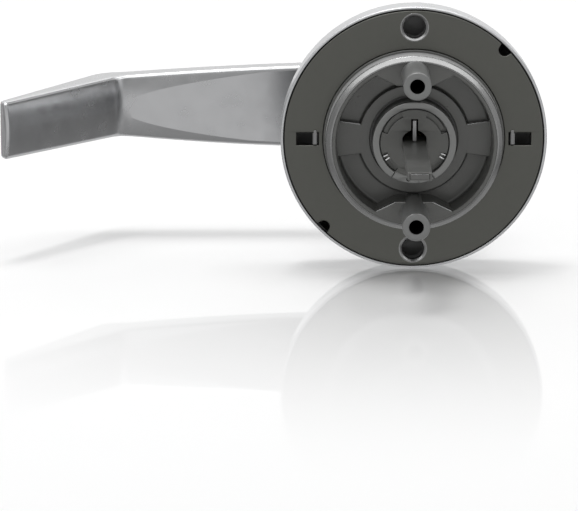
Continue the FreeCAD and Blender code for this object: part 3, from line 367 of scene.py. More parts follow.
def new_material(name: str) -> tuple[bpy.types.Material, NodeBuilder, Node]:
    """A new material, the builder of its tree and its shader."""
    made = bpy.data.materials.new(name)
    made.use_nodes = True
    return made, NodeBuilder(made.node_tree), made.node_tree.nodes["Principled BSDF"]


FLOAT = "NodeSocketFloat"
VECTOR = "NodeSocketVector"


def grain_group() -> None:
    """Fine grain of a cast, blasted or ground surface, stretched by a vector, on large patches."""
    inputs = {"Stretch": (VECTOR, (1.0, 1.0, 1.0)), "Fine": (FLOAT, 2600.0)}
    build = new_group("metal_grain", inputs, {"Height": FLOAT, "Tone": FLOAT})
    given = build.add("NodeGroupInput").outputs
    place, patches = build.add("TexCoord").outputs["Object"], 160.0
    scaled = build.add("VectorMath", operation="MULTIPLY", i0=place, i1=given["Stretch"])
    fine = build.noise(scaled.outputs[0], given["Fine"], 2.0, 0.5)
    build.add("NodeGroupOutput", Height=fine, Tone=build.noise(place, patches, 4.0, 0.5))


def lathe_group() -> None:
    """Rings left by turning: noise over the distance from the spindle axis and over y."""
    build = new_group("turning_marks", {}, {"Height": FLOAT, "Tone": FLOAT})
    place, fine, patches = build.add("TexCoord").outputs["Object"], 9000.0, 140.0
    x, y, z = build.add("SeparateXYZ", i0=place).outputs
    radius = build.math("SQRT", build.math("ADD", build.math("POWER", x, 2.0),
                                           build.math("POWER", z, 2.0)))
    marks = build.noise(build.add("CombineXYZ", i0=radius, i1=y).outputs[0], fine, 2.0, 0.5)
    build.add("NodeGroupOutput", Height=marks, Tone=build.noise(place, patches))


def edge_group() -> None:
    """Mask of worn edges: how far the bevelled normal leaves the true one, broken up by noise."""
    build = new_group("edge_wear", {"Strength": (FLOAT, 1.0)}, {"Mask": FLOAT, "Normal": VECTOR})
    given, width, gain, patches = build.add("NodeGroupInput"), 0.22, 9.0, 420.0
    bevel = build.add("Bevel", samples=4, Radius=width * MM).outputs[0]
    true = build.add("NewGeometry").outputs["Normal"]
    dot = build.add("VectorMath", operation="DOT_PRODUCT", i0=bevel, i1=true)
    place = build.add("TexCoord").outputs["Object"]
    away = build.math("MULTIPLY", build.math("SUBTRACT", 1.0, dot.outputs["Value"]), gain)
    rubbed = build.math("MULTIPLY", away, build.noise(place, patches))
    mask = build.math("MULTIPLY", rubbed, given.outputs["Strength"], clamp=True)
    build.add("NodeGroupOutput", Mask=mask, Normal=bevel)


class Texture(Enum):
    """How a surface was worked."""

    GRAIN = "metal_grain"
    TURNED = "turning_marks"


@dataclass(frozen=True)
class Finish:
    """A metal finish and the material made from it."""

    name: str
    colour: Triple
    worn: Triple
    roughness: float
    texture: Texture = Texture.GRAIN
    metallic: float = 1.0
    stretch: Triple = (1.0, 1.0, 1.0)
    fine: float = 2600.0
    depth_mm: float = 0.004
    tone: float = 0.16
    wear: float = 0.6
    unevenness: float = 0.25

    def material(self) -> bpy.types.Material:
        """Builds the material.

        Returns:
            The material, the same one each time.
        """
        title = f"finish_{self.name}"
        if title in bpy.data.materials:
            return bpy.data.materials[title]
        made, build, shader = new_material(title)
        pattern = build.add("Group", node_tree=bpy.data.node_groups[self.texture.value])
        if self.texture is Texture.GRAIN:
            build.feed(pattern, Stretch=self.stretch, Fine=self.fine)
        edge = build.add("Group", node_tree=bpy.data.node_groups["edge_wear"], Strength=self.wear)
        low = [channel * (1 - self.tone) for channel in self.colour]
        high = [min(1.0, channel * (1 + self.tone)) for channel in self.colour]
        mottled = build.add("Mix", data_type="RGBA", i0=pattern.outputs["Tone"],
                            i6=(*low, 1.0), i7=(*high, 1.0))
        rubbed = build.add("Mix", data_type="RGBA", i0=edge.outputs["Mask"],
                           i6=mottled.outputs[2], i7=(*self.worn, 1.0))
        uneven = build.math("SUBTRACT", pattern.outputs["Tone"], 0.5)
        uneven = build.math("MULTIPLY", uneven, self.unevenness)
        rough = build.math("ADD", uneven, self.roughness, clamp=True)
        bump = build.add("Bump", Height=pattern.outputs["Height"],
                         Distance=self.depth_mm * MM, Normal=edge.outputs["Normal"])
        build.feed(shader, Base_Color=rubbed.outputs[2], Metallic=self.metallic, Roughness=rough,
                   Normal=bump.outputs[0])
        return made


def grey(level: float) -> Triple:
    """An even grey."""
    return level, level, level


CASTING = Finish("dark_casting", (0.108, 0.109, 0.104), (0.26, 0.26, 0.255), 0.32, depth_mm=0.01,
                 fine=1500.0, metallic=0.3)
PLATE = Finish("dark_plate", (0.102, 0.103, 0.094), (0.28, 0.28, 0.27), 0.36, depth_mm=0.006,
               fine=1900.0)
# Light grey on the register band: painted light, for the top of its wall lit from above.
BAND_HIGHLIGHT = Finish("band_painted_light", (0.46, 0.461, 0.462), grey(0.5), 0.5, Texture.TURNED,
                  tone=0.04, metallic=0.3)
# Lighter grey on edge roundings and strips: painted highlight where light from above catches an
# edge.
EDGE_HIGHLIGHT = Finish("painted_edge_highlight", (0.22, 0.221, 0.22), grey(0.3), 0.26, Texture.TURNED, tone=0.05)
# Dark grey for the plate's bosses and a sheet inside the cover: painted shade for what the screw
# holes and clip slots show.
SHADE = Finish("hole_painted_shade", grey(0.26), grey(0.28), 0.45, wear=0.2, metallic=0.2)
COVER = Finish("satin_cover", (0.48, 0.485, 0.492), (0.62, 0.62, 0.63), 0.3, depth_mm=0.002,
               stretch=(1.0, 0.08, 1.0), tone=0.05, wear=0.4)
LEVER = Finish("lever_satin", (0.415, 0.418, 0.424), (0.55, 0.55, 0.56), 0.24, depth_mm=0.002,
               stretch=(0.06, 1.0, 1.0), tone=0.04, wear=0.4)
SLEEVE = Finish("sleeve_steel", (0.2, 0.202, 0.198), grey(0.34), 0.34, Texture.TURNED)
POST = Finish("post_steel", (0.2, 0.203, 0.2), grey(0.34), 0.36, Texture.TURNED, tone=0.1,
              metallic=0.6)
# Near black for the post threads and the lug-hole discs: painted shade inside bores and holes.
BORE_SHADE = Finish("bore_painted_shade", (0.012, 0.012, 0.011), grey(0.02), 0.7)
DRIVER = Finish("driver_steel", (0.102, 0.103, 0.098), grey(0.24), 0.36, fine=1800.0, metallic=0.6)
TAIL = Finish("tail_steel", (0.116, 0.117, 0.113), grey(0.2), 0.36, stretch=(1.0, 0.05, 1.0),
              metallic=0.25, wear=0.1)
TAB = Finish("clip_steel", grey(0.2), grey(0.45), 0.3)
# Near black on the hidden clip bodies, seen only through the plate's slots: painted shade.
CLIP_SHADE = Finish("clip_painted_shade", grey(0.02), grey(0.05), 0.5)
BLADE = Finish("blade_steel", grey(0.35), grey(0.45), 0.3)
# Near white, for flush strokes beside the driver's ears: painted glints.
GLINT = Finish("painted_glint", (0.74, 0.742, 0.745), grey(0.8), 0.24, tone=0.05)
BRIGHT = Finish("bright_steel", (0.36, 0.365, 0.37), grey(0.6), 0.26, tone=0.08)
SPRING = Finish("spring_steel", (0.16, 0.16, 0.17), grey(0.4), 0.3)
BRASS = Finish("machined_brass", (0.6, 0.44, 0.18), (0.8, 0.65, 0.35), 0.28, Texture.TURNED,
               tone=0.1)
# Dark grey on the bush where it shows in the gap round the sleeve: painted shade of that gap.
BUSH = Finish("bush_steel", (0.11, 0.11, 0.108), grey(0.16), 0.45, Texture.TURNED, metallic=0.3)
PLUG = Finish("plug_satin", grey(0.42), grey(0.6), 0.28, stretch=(0.08, 1.0, 1.0))
SCREW = Finish("screw_steel", (0.3, 0.3, 0.31), grey(0.5), 0.32)

KEPT_NODES = {
    BUSH: ("housing_bush",), PLATE: ("cage_cover",), SCREW: ("cage_screws",),
    BRIGHT: ("stop_pins", "thrust_washer", "drive_pin", "lever_catch"),
    SPRING: ("return_spring", "sleeve_ring", "catch_spring"),
    CLIP_SHADE: ("right_rose_clip", "left_rose_clip"), DRIVER: ("driver_hub",),
    BRASS: ("cylinder_shell", "plug_cap", "key_pins", "driver_pins"),
    PLUG: ("cylinder_plug",), BLADE: ("cylinder_blade",),
}


def paint(obj: Object, finish: Finish) -> None:
    """Gives an object one finish in its only material slot."""
    if obj.material_slots:
        obj.material_slots[0].material = finish.material()
    else:
        obj.data.materials.append(finish.material())


def fit(obj: Object, body: str, slot: str, finish: Finish, *nodes: str) -> None:
    """Dresses a new piece, seats it on its body, hides the nodes it stands for and reports it.

    Args:
        obj: the piece.
        body: CAD body that carries it.
        slot: material slot of the record; not used.
        finish: its finish.
        nodes: CAD nodes that it stands for.
    """
    paint(obj, finish)
    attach(obj, body)
    if nodes:
        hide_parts(*nodes)
    log.info("%s rides on %s", obj.name, body)


@dataclass
class Rose:
    """Cover, mounting plate, cast housing and the clips that hold the cover."""

    cover_radius: float = 40.5
    cover_inside: float = 39.6
    plate_radius: float = 39.35
    bore: float = 27.55
    screw_place: float = 34.25
    hole: float = 3.4
    hole_rim: float = 0.6
    slot_x: Pair = (28.9, 35.6)
    slot_half: float = 1.95
    notch: Pair = (38.7, 1.9)
    ring: float = 26.8
    lip: float = 23.75
    door: float = -8.2

    def cover(self) -> None:
        """Drawn cup: an outer corner of 5.5 mm and a rolled rim round the plate."""
        profile = rounded([
            [self.cover_inside, 0.2], [self.cover_radius, 0.2], [self.cover_radius, 14.0],
            [16.2, 14.0], [16.2, 12.8], [self.cover_inside, 12.8],
        ], [0.35, 0.4, 5.5, 0.4, 0.3, 4.6], 8)
        fit(turned("cover", profile, segments=192), "rose", "satin_chrome", COVER, "rose_cover")
        # A dark sheet laid just inside the cover: painted shade, so the holes and slots show dark.
        shade_sheet = rounded([
            [39.58, 3.2], [39.58, 12.78], [16.4, 12.78], [16.4, 12.7], [39.48, 12.7], [39.48, 3.2],
        ], [0.0, 4.6, 0.0, 0.0, 4.55, 0.0], 8)
        fit(turned("cover_shade_sheet", shade_sheet, segments=128), "rose", "satin_chrome", SHADE)

    def outer_loop(self) -> Array:
        """Edge of the plate with its two pry notches: the circle moved in where a notch is."""
        (place, size), count, width = self.notch, 720, 0.2
        angle = np.linspace(0, 2 * np.pi, count, endpoint=False)
        radius = np.full(count, self.plate_radius)
        for turn in (45.0, 225.0):
            away = (angle - math.radians(turn) + np.pi) % (2 * np.pi) - np.pi
            chord = place * np.sin(np.abs(away))
            near = (np.abs(away) < width) & (chord < size)
            depth = place * np.cos(away) - np.sqrt(np.maximum(size ** 2 - chord ** 2, 0))
            radius = np.where(near, np.minimum(radius, depth), radius)
        return polar(radius, angle)

    def plate(self) -> None:
        """Flat ring with screw holes, clip slots and notches, and a boss behind each hole."""
        near, far = self.slot_x
        half, inside = self.slot_half, self.hole + self.hole_rim
        loops = [
            self.outer_loop(), circle(self.bore, count=180),
            *(circle(inside, 0, self.screw_place * side, 48) for side in (1, -1)),
            box(near, -half, far, half, 0.15), box(-far, -half, -near, half, 0.15),
        ]
        fit(slab("plate", loops, 0.0, 2.8, 0.3), "rose", "dark_steel", PLATE, "mounting_plate")
        # The hole rims take the lighter edge finish, a painted highlight on their rounding; the
        # bosses take the dark finish, painted shade inside the holes.
        rim = rounded([
            [0.95, 0.5], [0.95, -0.01], [0.65, -0.01], [0.0, 0.5], [0.0, 2.79], [0.65, 2.79],
        ], [0.0, 0.0, 0.2, 0.15, 0.0, 0.0], 4)
        boss = rounded([[0.0, 2.7], [1.6, 2.7], [1.6, 6.2], [0.0, 6.2]], [0.0, 0.0, 0.8, 0.3])
        pieces = (("{}_hole_rim", rim, EDGE_HIGHLIGHT), ("plate_{}_boss", boss, SHADE))
        for title, profile, finish in pieces:
            for name, side in UPPER_LOWER:
                place = self.screw_place * side
                made = turned(title.format(name), profile + [self.hole, 0], 0, place, segments=64)
                fit(made, "rose", "dark_steel", finish)

    def housing(self) -> None:
        """Cast cup: turned ring, hub and floor, with post pads and side ribs."""
        cup = rounded([
            [13.4, 0.0], [16.75, 0.0], [16.75, 2.6], [23.4, 2.6], [self.lip, self.door],
            [25.0, self.door], [25.0, -6.85], [26.3, -6.85], [26.3, -0.65],
            [27.5, -0.65], [27.5, 2.8], [28.6, 2.8],
            [28.6, 11.4], [27.0, 11.4], [27.0, 4.4], [14.1, 4.4], [14.1, 1.0], [13.4, 1.0],
        ], [0.25, 0.35, 0.8, 0.9, 0.55, 0.0, 0.0, 0.05, 0.1,
            0.3, 0.1, 0.3, 0.3, 0.3, 0.6, 0.2, 0.1, 0.1], 6)
        fit(turned("housing", cup, segments=192), "rose", "dark_casting", CASTING, "spring_housing")
        # A light band round the ring's outer wall: painted light, for the wall's top lit from
        # above.
        band = rounded([
            [26.3, -6.65], [self.ring, -6.65], [self.ring, -0.6], [26.3, -0.6],
        ], [0.0, 0.08, 0.15, 0.0])
        fit(turned("register_band", band, segments=192), "rose", "dark_casting", BAND_HIGHLIGHT)
        # The lip's rounding takes the lighter edge finish: painted highlight of light from above.
        lip = rounded([
            [24.9, self.door], [25.3, self.door], [self.ring, -7.2], [self.ring, -6.65],
            [24.9, -6.65],
        ], [0.0, 0.9, 0.6, 0.1, 0.0], 8)
        fit(turned("register_lip", lip, segments=192), "rose", "dark_casting", EDGE_HIGHLIGHT)
        middle = (self.lip + self.ring) / 2
        for name, side in UPPER_LOWER:
            rim = arc(middle - 0.2, 62, 118, 24) * [1, side]
            wing = np.array([[-11.57, 20.74], [-5.5, 17.8], [5.5, 17.8], [11.57, 20.74]])
            loop = np.concatenate([wing * [1, side], rim])
            fit(slab(f"{name}_post_pad", [loop], self.door + 0.02, 3.4, 0.45), "rose",
                "dark_casting", CASTING)
        for name, side in RIGHT_LEFT:
            loop = np.array([[15.6, -4.5], [24.6, -5.8], [24.6, 5.8], [15.6, 4.5]]) * [side, 1]
            fit(slab(f"{name}_rib", [loop], 0.02, 3.4, 0.3), "rose", "dark_casting", CASTING)
            # Painted highlight strips along the upper edges of each rib and pad wing.
            for title, line, face in (("rib", [[16.2, 4.59], [22.4, 5.48]], 0.0),
                                      ("pad", [[5.6, -17.85], [11.4, -20.66]], self.door)):
                self.painted_edge_highlight(f"{name}_{title}_edge", np.array(line) * [side, 1], face)

    def painted_edge_highlight(self, name: str, line: Array, face: float) -> None:
        """A rounded strip along an upper edge of the casting, in a lighter grey: a painted
        highlight where light from above catches that edge.

        Args:
            name: piece name.
            line: the edge's two ends in the XZ plane.
            face: the edge's place along Y.
        """
        loop = np.concatenate([line + [0, 0.08], line[::-1] - [0, 0.42]])
        fit(slab(name, [loop], face, face + 1.0, 0.22), "rose", "dark_casting", EDGE_HIGHLIGHT)

    def clips(self) -> None:
        """Bent spring clips whose tabs stand in the plate's slots."""
        pieces = (("tab", box(29.3, -1.75, 30.7, 1.75, 0.2), -0.15, 3.6),
                  ("hook", box(29.45, -1.7, 30.45, 2.75, 0.3), -0.5, -0.02))
        for name, side in RIGHT_LEFT:
            for title, loop, door, out in pieces:
                made = slab(f"{name}_clip_{title}", [loop * [side, 1]], door, out, 0.12)
                fit(made, "rose", "spring_steel", TAB)

    def build(self) -> None:
        """Builds the whole rose."""
        self.cover()
        self.plate()
        self.housing()
        self.clips()


@dataclass
class Posts:
    """Two threaded posts that stand through the door."""

    place: float = 21.25
    radius: float = 4.2
    bore: float = 2.2
    end: float = -28.0
    depth: float = 18.0
    pitch: float = 0.8

    def thread(self) -> Array:
        """Profile of the threaded wall: its radius steps between root and crest each half pitch."""
        stop = self.end + self.depth
        step, tooth = self.pitch / 2, 0.3
        teeth = np.arange(int(self.depth / self.pitch) * 2 - 2)
        wall = np.stack([self.bore + tooth * (teeth % 2), stop - step - teeth * step], -1)
        outside = [[2.62, self.end + 0.3], [2.62, stop + 0.5], [0.0, stop + 0.5]]
        return np.concatenate([[[0.0, stop], [self.bore, stop]], wall, outside])

    def build(self) -> None:
        """Turned tube, staked at its root, with a threaded lining."""
        tube = rounded([
            [self.bore, self.end], [self.radius, self.end], [self.radius, 3.4], [5.2, 4.4],
            [5.2, 5.6], [2.6, 5.6], [2.6, self.end + 0.9], [self.bore, self.end + 0.6],
        ], [0.12, 0.35, 0.0, 0.0, 0.3, 0.0, 0.0, 0.0])
        for name, side in UPPER_LOWER:
            fit(turned(f"{name}_threaded_post", tube, 0, self.place * side, segments=96),
                "rose", "post_steel", POST, f"{name}_post")
            # The threaded lining takes the near-black finish: painted shade inside the bore.
            fit(turned(f"{name}_post_thread", self.thread(), 0, self.place * side, False, 64),
                "rose", "post_steel", BORE_SHADE)


@dataclass
class Spindle:
    """Sleeve that carries the lever, and the driver in its end."""

    outer: float = 12.7
    bore: float = 10.55
    end: float = -7.0
    ring_turn: float = -92.0
    ring_half: float = 30.0
    slit_turn: float = -84.0
    eye_turn: float = 14.5
    notches: tuple[float, ...] = (23.0, 202.0)
    body_radius: float = 9.85
    body_shift: float = 0.5
    eye_radius: float = 0.65
    eye_place: float = 11.5

    def sleeve(self) -> None:
        """Tube with a collar; its end ring is open where the retaining ring's lugs lie."""
        first, last, collar, near, far, open_more = -4.7, 33.5, 15.6, 10.2, 11.0, 1.5
        profile = rounded([
            [self.bore, first], [self.outer, first], [self.outer, near], [collar, near],
            [collar, far], [self.outer, far], [self.outer, last], [self.bore, last],
        ], [0.0, 0.0, 0.2, 0.2, 0.2, 0.2, 0.4, 0.3], 4)
        fit(turned("sleeve", profile, segments=160), "handle", "sleeve_steel", SLEEVE,
            "spindle_sleeve")
        start = self.ring_turn + self.ring_half + open_more
        stop = self.ring_turn - self.ring_half - open_more + 360
        loop = np.concatenate([arc(self.outer, start, stop, 150), arc(self.bore, stop, start, 150)])
        fit(slab("sleeve_end", [loop], self.end, -4.68, 0.25), "handle", "sleeve_steel", SLEEVE)

    def retaining_ring(self) -> None:
        """Spring ring in front of the hub's shoulder, widest at the top, with two eyed lugs.

        The body's outer edge is a circle moved up by the shift: its radius at angle t is shift
        times sin t plus the root of radius squared less the square of shift times cos t.
        """
        gap, neck, reach, face_in, face_out = 1.6, 8.2, 12.3, 10.45, 12.6
        notch_half, notch_radius = 2.4, 8.75
        body_start = self.ring_turn + self.ring_half
        body_end = self.ring_turn - self.ring_half + 360
        angle = np.linspace(body_start, body_end, 301)
        turn = np.radians(angle)
        root = np.sqrt(self.body_radius ** 2 - (self.body_shift * np.cos(turn)) ** 2)
        radius = self.body_shift * np.sin(turn) + root
        for place in self.notches:
            radius = np.where(np.abs(angle - place) < notch_half, notch_radius, radius)
        outer = polar(radius, turn)
        left = arc(reach, body_end, self.slit_turn + 360 - gap, 20)
        right = arc(reach, self.slit_turn + gap, body_start, 20)
        inner = arc(neck, self.slit_turn + 360 - gap, self.slit_turn + gap, 150)
        loop = np.concatenate([outer, left, inner, right])
        holes = [circle(self.eye_radius, *arc(self.eye_place, a, a, 1)[0], 24)
                 for a in (self.slit_turn + self.eye_turn, self.slit_turn - self.eye_turn)]
        fit(slab("retaining_ring", [loop, *holes], -5.65, -4.75, 0.08), "handle", "ring_steel",
            DRIVER, "driver_ring")
        # A near-black disc sits in each lug's eye: painted shade of the hole.
        for (name, _), hole in zip(RIGHT_LEFT, holes):
            fit(slab(f"{name}_lug_hole_shade", [hole], -5.4, -4.8, 0.02), "handle", "ring_steel", BORE_SHADE)
        spans = ((self.slit_turn + gap, body_start), (body_end - 360, self.slit_turn - gap))
        for (name, _), hole, (start, stop) in zip(RIGHT_LEFT, holes, spans):
            face = np.concatenate([arc(face_out, start, stop, 20), arc(face_in, stop, start, 20)])
            fit(slab(f"{name}_lug_face", [face, hole], -5.75, -5.6, 0.03), "handle", "ring_steel",
                SLEEVE)

    def painted_glints(self) -> None:
        """Painted glints: bright flat strokes beside the ears, two on each side, flush with the
        ring.
        """
        stroke, reach = box(-0.22, -0.85, 0.22, 0.85, 0.1), 9.45
        places = {"left_low": 212.0, "left_high": 205.0, "right_low": -29.5, "right_high": -22.5}
        for name, place in places.items():
            turn = math.radians(place + 90)
            spin = np.array([[math.cos(turn), math.sin(turn)], [-math.sin(turn), math.cos(turn)]])
            loop = stroke @ spin + arc(reach, place, place, 1)
            fit(slab(f"{name}_glint", [loop], -5.69, -5.6, 0.02), "handle", "ring_steel", GLINT)

    def build(self) -> None:
        """Builds the sleeve and its ring."""
        self.sleeve()
        self.retaining_ring()
        self.painted_glints()


@dataclass
class Driver:
    """Driver disc and the tailpiece that reaches through the door."""

    face: float = -6.5
    eye: float = 3.95

    def disc(self) -> None:
        """Disc with three ears, an eye for the tailpiece and a slot for the blade."""
        radii, turns = (8.6, 10.35) * 3, (19, 67, 113, 161, 199, 341, 379)
        ears = [arc(radius, start, end, end - start)
                for radius, start, end in zip(radii, turns, turns[1:])]
        half, slot, slot_top, low = 3.6, 1.05, 7.3, -2.0
        slot_turn = math.degrees(math.asin(slot / self.eye))
        side_turn = math.degrees(math.acos(half / self.eye))
        low_turn = math.degrees(math.asin(low / self.eye))
        hole = np.concatenate([
            arc(self.eye, -90, low_turn, 12), [[half, low], [half, 0.0]],
            arc(self.eye, side_turn, 90 - slot_turn, 20),
            [[slot, slot_top], [-slot, slot_top]],
            arc(self.eye, 90 + slot_turn, 180 - side_turn, 20), [[-half, 0.0], [-half, low]],
            arc(self.eye, 180 - low_turn, 270, 12)[:-1],
        ])
        fit(slab("driver_plate", [np.concatenate(ears), hole], self.face, self.face + 0.8, 0.12),
            "driver", "driver_steel", DRIVER, "driver_disc")

    def tailpiece(self) -> None:
        """Folded channel with rounded corners round a bar that ends a little proud."""
        outer = box(-3.6, -2.0, 3.6, 0.3, 0.3)
        inner = box(-2.8, -1.65, 2.8, -0.05, 0.1)
        fit(slab("tail_channel", [outer, inner], -51.5, 4.25, 0.12), "driver", "tail_steel", TAIL,
            "tailpiece_channel")
        fit(slab("tail_bar", [box(-2.76, -1.61, 2.76, -0.09, 0.15)], -51.9, 4.25, 0.15),
            "driver", "bright_steel", TAIL, "tailpiece_bar")
        # A lighter strip at the top of the bar's end: painted highlight.
        fit(slab("tail_bar_edge", [box(-2.66, -0.36, 2.66, -0.085, 0.06)], -51.9, -51.2, 0.06),
            "driver", "bright_steel", EDGE_HIGHLIGHT)

    def build(self) -> None:
        """Builds the driver."""
        self.disc()
        self.tailpiece()


@dataclass
class Lever:
    """Neck, head, tapered shank and the return towards the door."""

    root: Pair = (-9.0, 50.605)
    root_far: Pair = (-9.0, 56.806)
    bend: Pair = (-91.0, 48.0)
    tip_near: Pair = (-124.3, 9.0)
    tip_far: Pair = (-127.0, 13.6)
    front_bend: Pair = (-98.5, 57.0)
    bend_radius: float = 7.0
    inner_radius: float = 8.0
    crown_radius: float = 45.0
    crown_mid: float = 0.3
    edge: float = 1.3
    tip_radius: float = 1.2
    end_x: float = -132.0
    catch_y: float = 22.0
    catch_radius: float = 2.35
    cavity: float = 8.85
    head_radius: float = 17.0
    top: tuple[float, ...] = (14.3, 10.5, 9.0, 0.8)
    low: tuple[float, ...] = (13.0, 8.9, 8.5, 1.2)

    def height(self, x: Array, table: tuple[float, ...]) -> Array:
        """Half height at x.

        From the axis to the bend it is the straight line between two heights plus four times the
        bow times share times one minus share; past the bend it is a straight line to the end.

        Args:
            x: places along the lever.
            table: heights at the axis, at the bend and at the end, and the bow.

        Returns:
            The heights.
        """
        start, middle, end, bow = table
        bend = self.bend[0]
        share = np.clip(x / bend, 0, 1)
        past = np.clip((x - bend) / (self.end_x - bend), 0, 1)
        straight = start + (middle - start) * share + (end - middle) * past
        return straight + 4 * bow * share * (1 - share)

    def spine(self) -> tuple[Array, Array]:
        """Near and far points of the sections, in plan: two lines whose bends are rounded.

        Returns:
            Two arrays of (x, y).
        """
        lines = (
            (self.root, self.bend, self.tip_near, self.inner_radius),
            (self.root_far, self.front_bend, self.tip_far, self.bend_radius),
        )
        made = []
        first, last = np.linspace(0, 1, 48)[:, None], np.linspace(0, 1, 30)[:, None]
        for start, corner, end, radius in lines:
            chain = rounded([start, corner, end], [0.0, radius, 0.0], 14)[15:30]
            shank = np.array(start) * (1 - first) + chain[0] * first
            back = chain[-1] * (1 - last) + np.array(end) * last
            made.append(np.concatenate([shank, chain[1:-1], back]))
        return made[0], made[1]

    def arm(self) -> None:
        """Skin over the sections, whose back is the flat lobe or the crown, whichever is deeper.

        Above the bend line the lobe's plane lies deeper by a rise, and the crown by the square of
        the height over twice its radius. They meet where the two are equal, and there the columns
        of the grid lie and the edge stays sharp. A section's depth runs from the normal of the
        near line to the line between its near and far points.
        """
        near, far = self.spine()
        across = far - near
        thick = np.linalg.norm(across, axis=1)
        way = across / thick[:, None]
        along = np.gradient(near, axis=0)
        along /= np.linalg.norm(along, axis=1, keepdims=True)
        normal = np.stack([along[:, 1], -along[:, 0]], -1)
        least_rise, margin, least_width = 0.006, self.edge + 0.1, 0.7
        rise = np.maximum(near[:, 1] - self.bend[1], 0) * (near[:, 0] > self.bend[0])
        half = np.sqrt(2 * self.crown_radius * np.maximum(rise, least_rise))
        top, low = self.height(near[:, 0], self.top), self.height(near[:, 0], self.low)
        upper = np.clip(self.crown_mid + half, None, top - margin - least_width)
        lower = np.clip(self.crown_mid - half, margin + least_width - low, None)
        stops = np.stack([-low, margin - low, lower, upper, top - margin, top], 1)
        back_z = np.concatenate([
            stops[:, k, None]
            + (stops[:, k + 1] - stops[:, k])[:, None] * np.linspace(0, 1, count + 1)[k > 0:]
            for k, count in enumerate((1, 6, 6, 6, 1))
        ], 1)
        crown = (back_z - self.crown_mid) ** 2 / (2 * self.crown_radius)
        back_depth = np.maximum(crown - rise[:, None], 0)
        front_z = np.stack([self.height(far[:, 0], self.top), -self.height(far[:, 0], self.low)], 1)
        front_depth = np.stack([thick, thick], 1)
        outline = np.stack([np.concatenate([back_depth, front_depth], 1),
                            np.concatenate([back_z, front_z], 1)], -1)
        count = back_z.shape[1]
        radii = np.zeros(count + 2)
        radii[[0, count - 1, count, count + 1]] = self.edge
        outline = rounded(outline, radii, 6)
        share = np.clip(outline[..., :1] / thick[:, None, None], 0, 1)
        ahead = normal[:, None, :] * (1 - share) + way[:, None, :] * share
        plan = near[:, None, :] + ahead * outline[..., :1]
        sections = np.stack([plan[..., 0], plan[..., 1], outline[..., 1]], -1)
        sections = self.round_end(sections, np.append(way[-1], 0), np.append(along[-1], 0))
        made = loft("lever_arm", sections, 60.0)
        fit(made, "handle", "lever_satin", LEVER, "lever")
        self.keep_lobe(made)

    def round_end(self, sections: Array, way: Array, along: Array) -> Array:
        """Replaces the last section by a rounding of the tip.

        Row a lies the radius times (1 - sin a) before the end, and is drawn in towards its middle
        by the radius times (1 - cos a), both across the thickness and in height.

        Args:
            sections: the lever's sections.
            way: direction across the thickness at the tip.
            along: direction of the spine at the tip.

        Returns:
            The sections with their rounded end.
        """
        last = sections[-1]
        middle = (last.max(0) + last.min(0)) / 2
        across, height = (last - middle) @ way, last[:, 2] - middle[2]
        turn = np.linspace(0, np.pi / 2, 6)[:, None, None]
        drawn = self.tip_radius * (1 - np.cos(turn))
        inwards = (across / np.ptp(across))[:, None] * way
        inwards = inwards + (height / np.ptp(height))[:, None] * [0, 0, 1]
        tip = last - 2 * drawn * inwards - self.tip_radius * (1 - np.sin(turn)) * along
        return np.concatenate([sections[:-1], tip])

    def keep_lobe(self, obj: Object) -> None:
        """Marks the edges where the flat lobe meets the crown, found by their place."""
        mesh = obj.data
        points = np.empty(len(mesh.vertices) * 3)
        mesh.vertices.foreach_get("co", points)
        x, y, z = points.reshape(-1, 3).T / MM
        plane_miss, crown_miss, first, last = 0.03, 0.02, self.bend[0] + 2.5, -14.0
        slope = (self.root[1] - self.bend[1]) / (self.root[0] - self.bend[0])
        rise = slope * (x - self.bend[0])
        flat = (np.abs(y - self.bend[1] - rise) < plane_miss) & (x > first) & (x < last)
        crown = np.abs((z - self.crown_mid) ** 2 / (2 * self.crown_radius) - rise) < crown_miss
        pairs = np.empty(len(mesh.edges) * 2, int)
        mesh.edges.foreach_get("vertices", pairs)
        both = (flat & crown)[pairs.reshape(-1, 2)].all(1)
        sharp = mesh.attributes["sharp_edge"].data
        kept = np.empty(len(mesh.edges), bool)
        sharp.foreach_get("value", kept)
        sharp.foreach_set("value", kept | both)

    def neck(self) -> None:
        """Turned neck that widens into the head."""
        profile = rounded([
            [12.75, 12.9], [15.6, 12.9], [15.6, 16.3], [15.0, 17.5], [15.0, 41.0],
            [self.head_radius, 47.0], [self.head_radius, 47.6], [9.2, 47.6], [9.2, 34.2],
            [12.75, 34.2],
        ], [0.2, 0.4, 1.0, 1.0, 8.0, 3.0, 0.0, 0.0, 0.0, 0.3], 8)
        made = turned("lever_neck", profile)
        self.drill(made)
        fit(made, "handle", "lever_satin", LEVER)

    def drill(self, obj: Object) -> None:
        """Cuts the catch's round hole through the lower wall of the neck."""
        ring = circle(self.catch_radius, 0, self.catch_y, 48)
        sections = [np.insert(ring, 2, level, axis=1) for level in (-20.0, -8.0)]
        cutter = loft("cutter", np.stack(sections))
        cut = obj.modifiers.new("hole", "BOOLEAN")
        cut.object, cut.operation, cut.solver = cutter, "DIFFERENCE", "EXACT"
        graph = bpy.context.evaluated_depsgraph_get()
        made = bpy.data.meshes.new_from_object(obj.evaluated_get(graph))
        obj.modifiers.clear()
        obj.data = made
        made.set_sharp_from_angle(angle=math.radians(30))
        bpy.data.objects.remove(cutter)

    def head(self) -> None:
        """Front of the head, open for the cylinder and its chamber block."""
        half, top = 4.1, 13.4
        side = math.degrees(math.asin(half / self.cavity))
        hole = np.concatenate([
            arc(self.cavity, 90 + side, 450 - side, 100), [[half, top], [-half, top]]])
        loops = [circle(self.head_radius, count=144), hole]
        fit(slab("lever_head", loops, 47.5, 58.0, 0.8, 6), "handle", "lever_satin", LEVER)

    def build(self) -> None:
        """Builds the lever."""
        self.arm()
        self.neck()
        self.head()


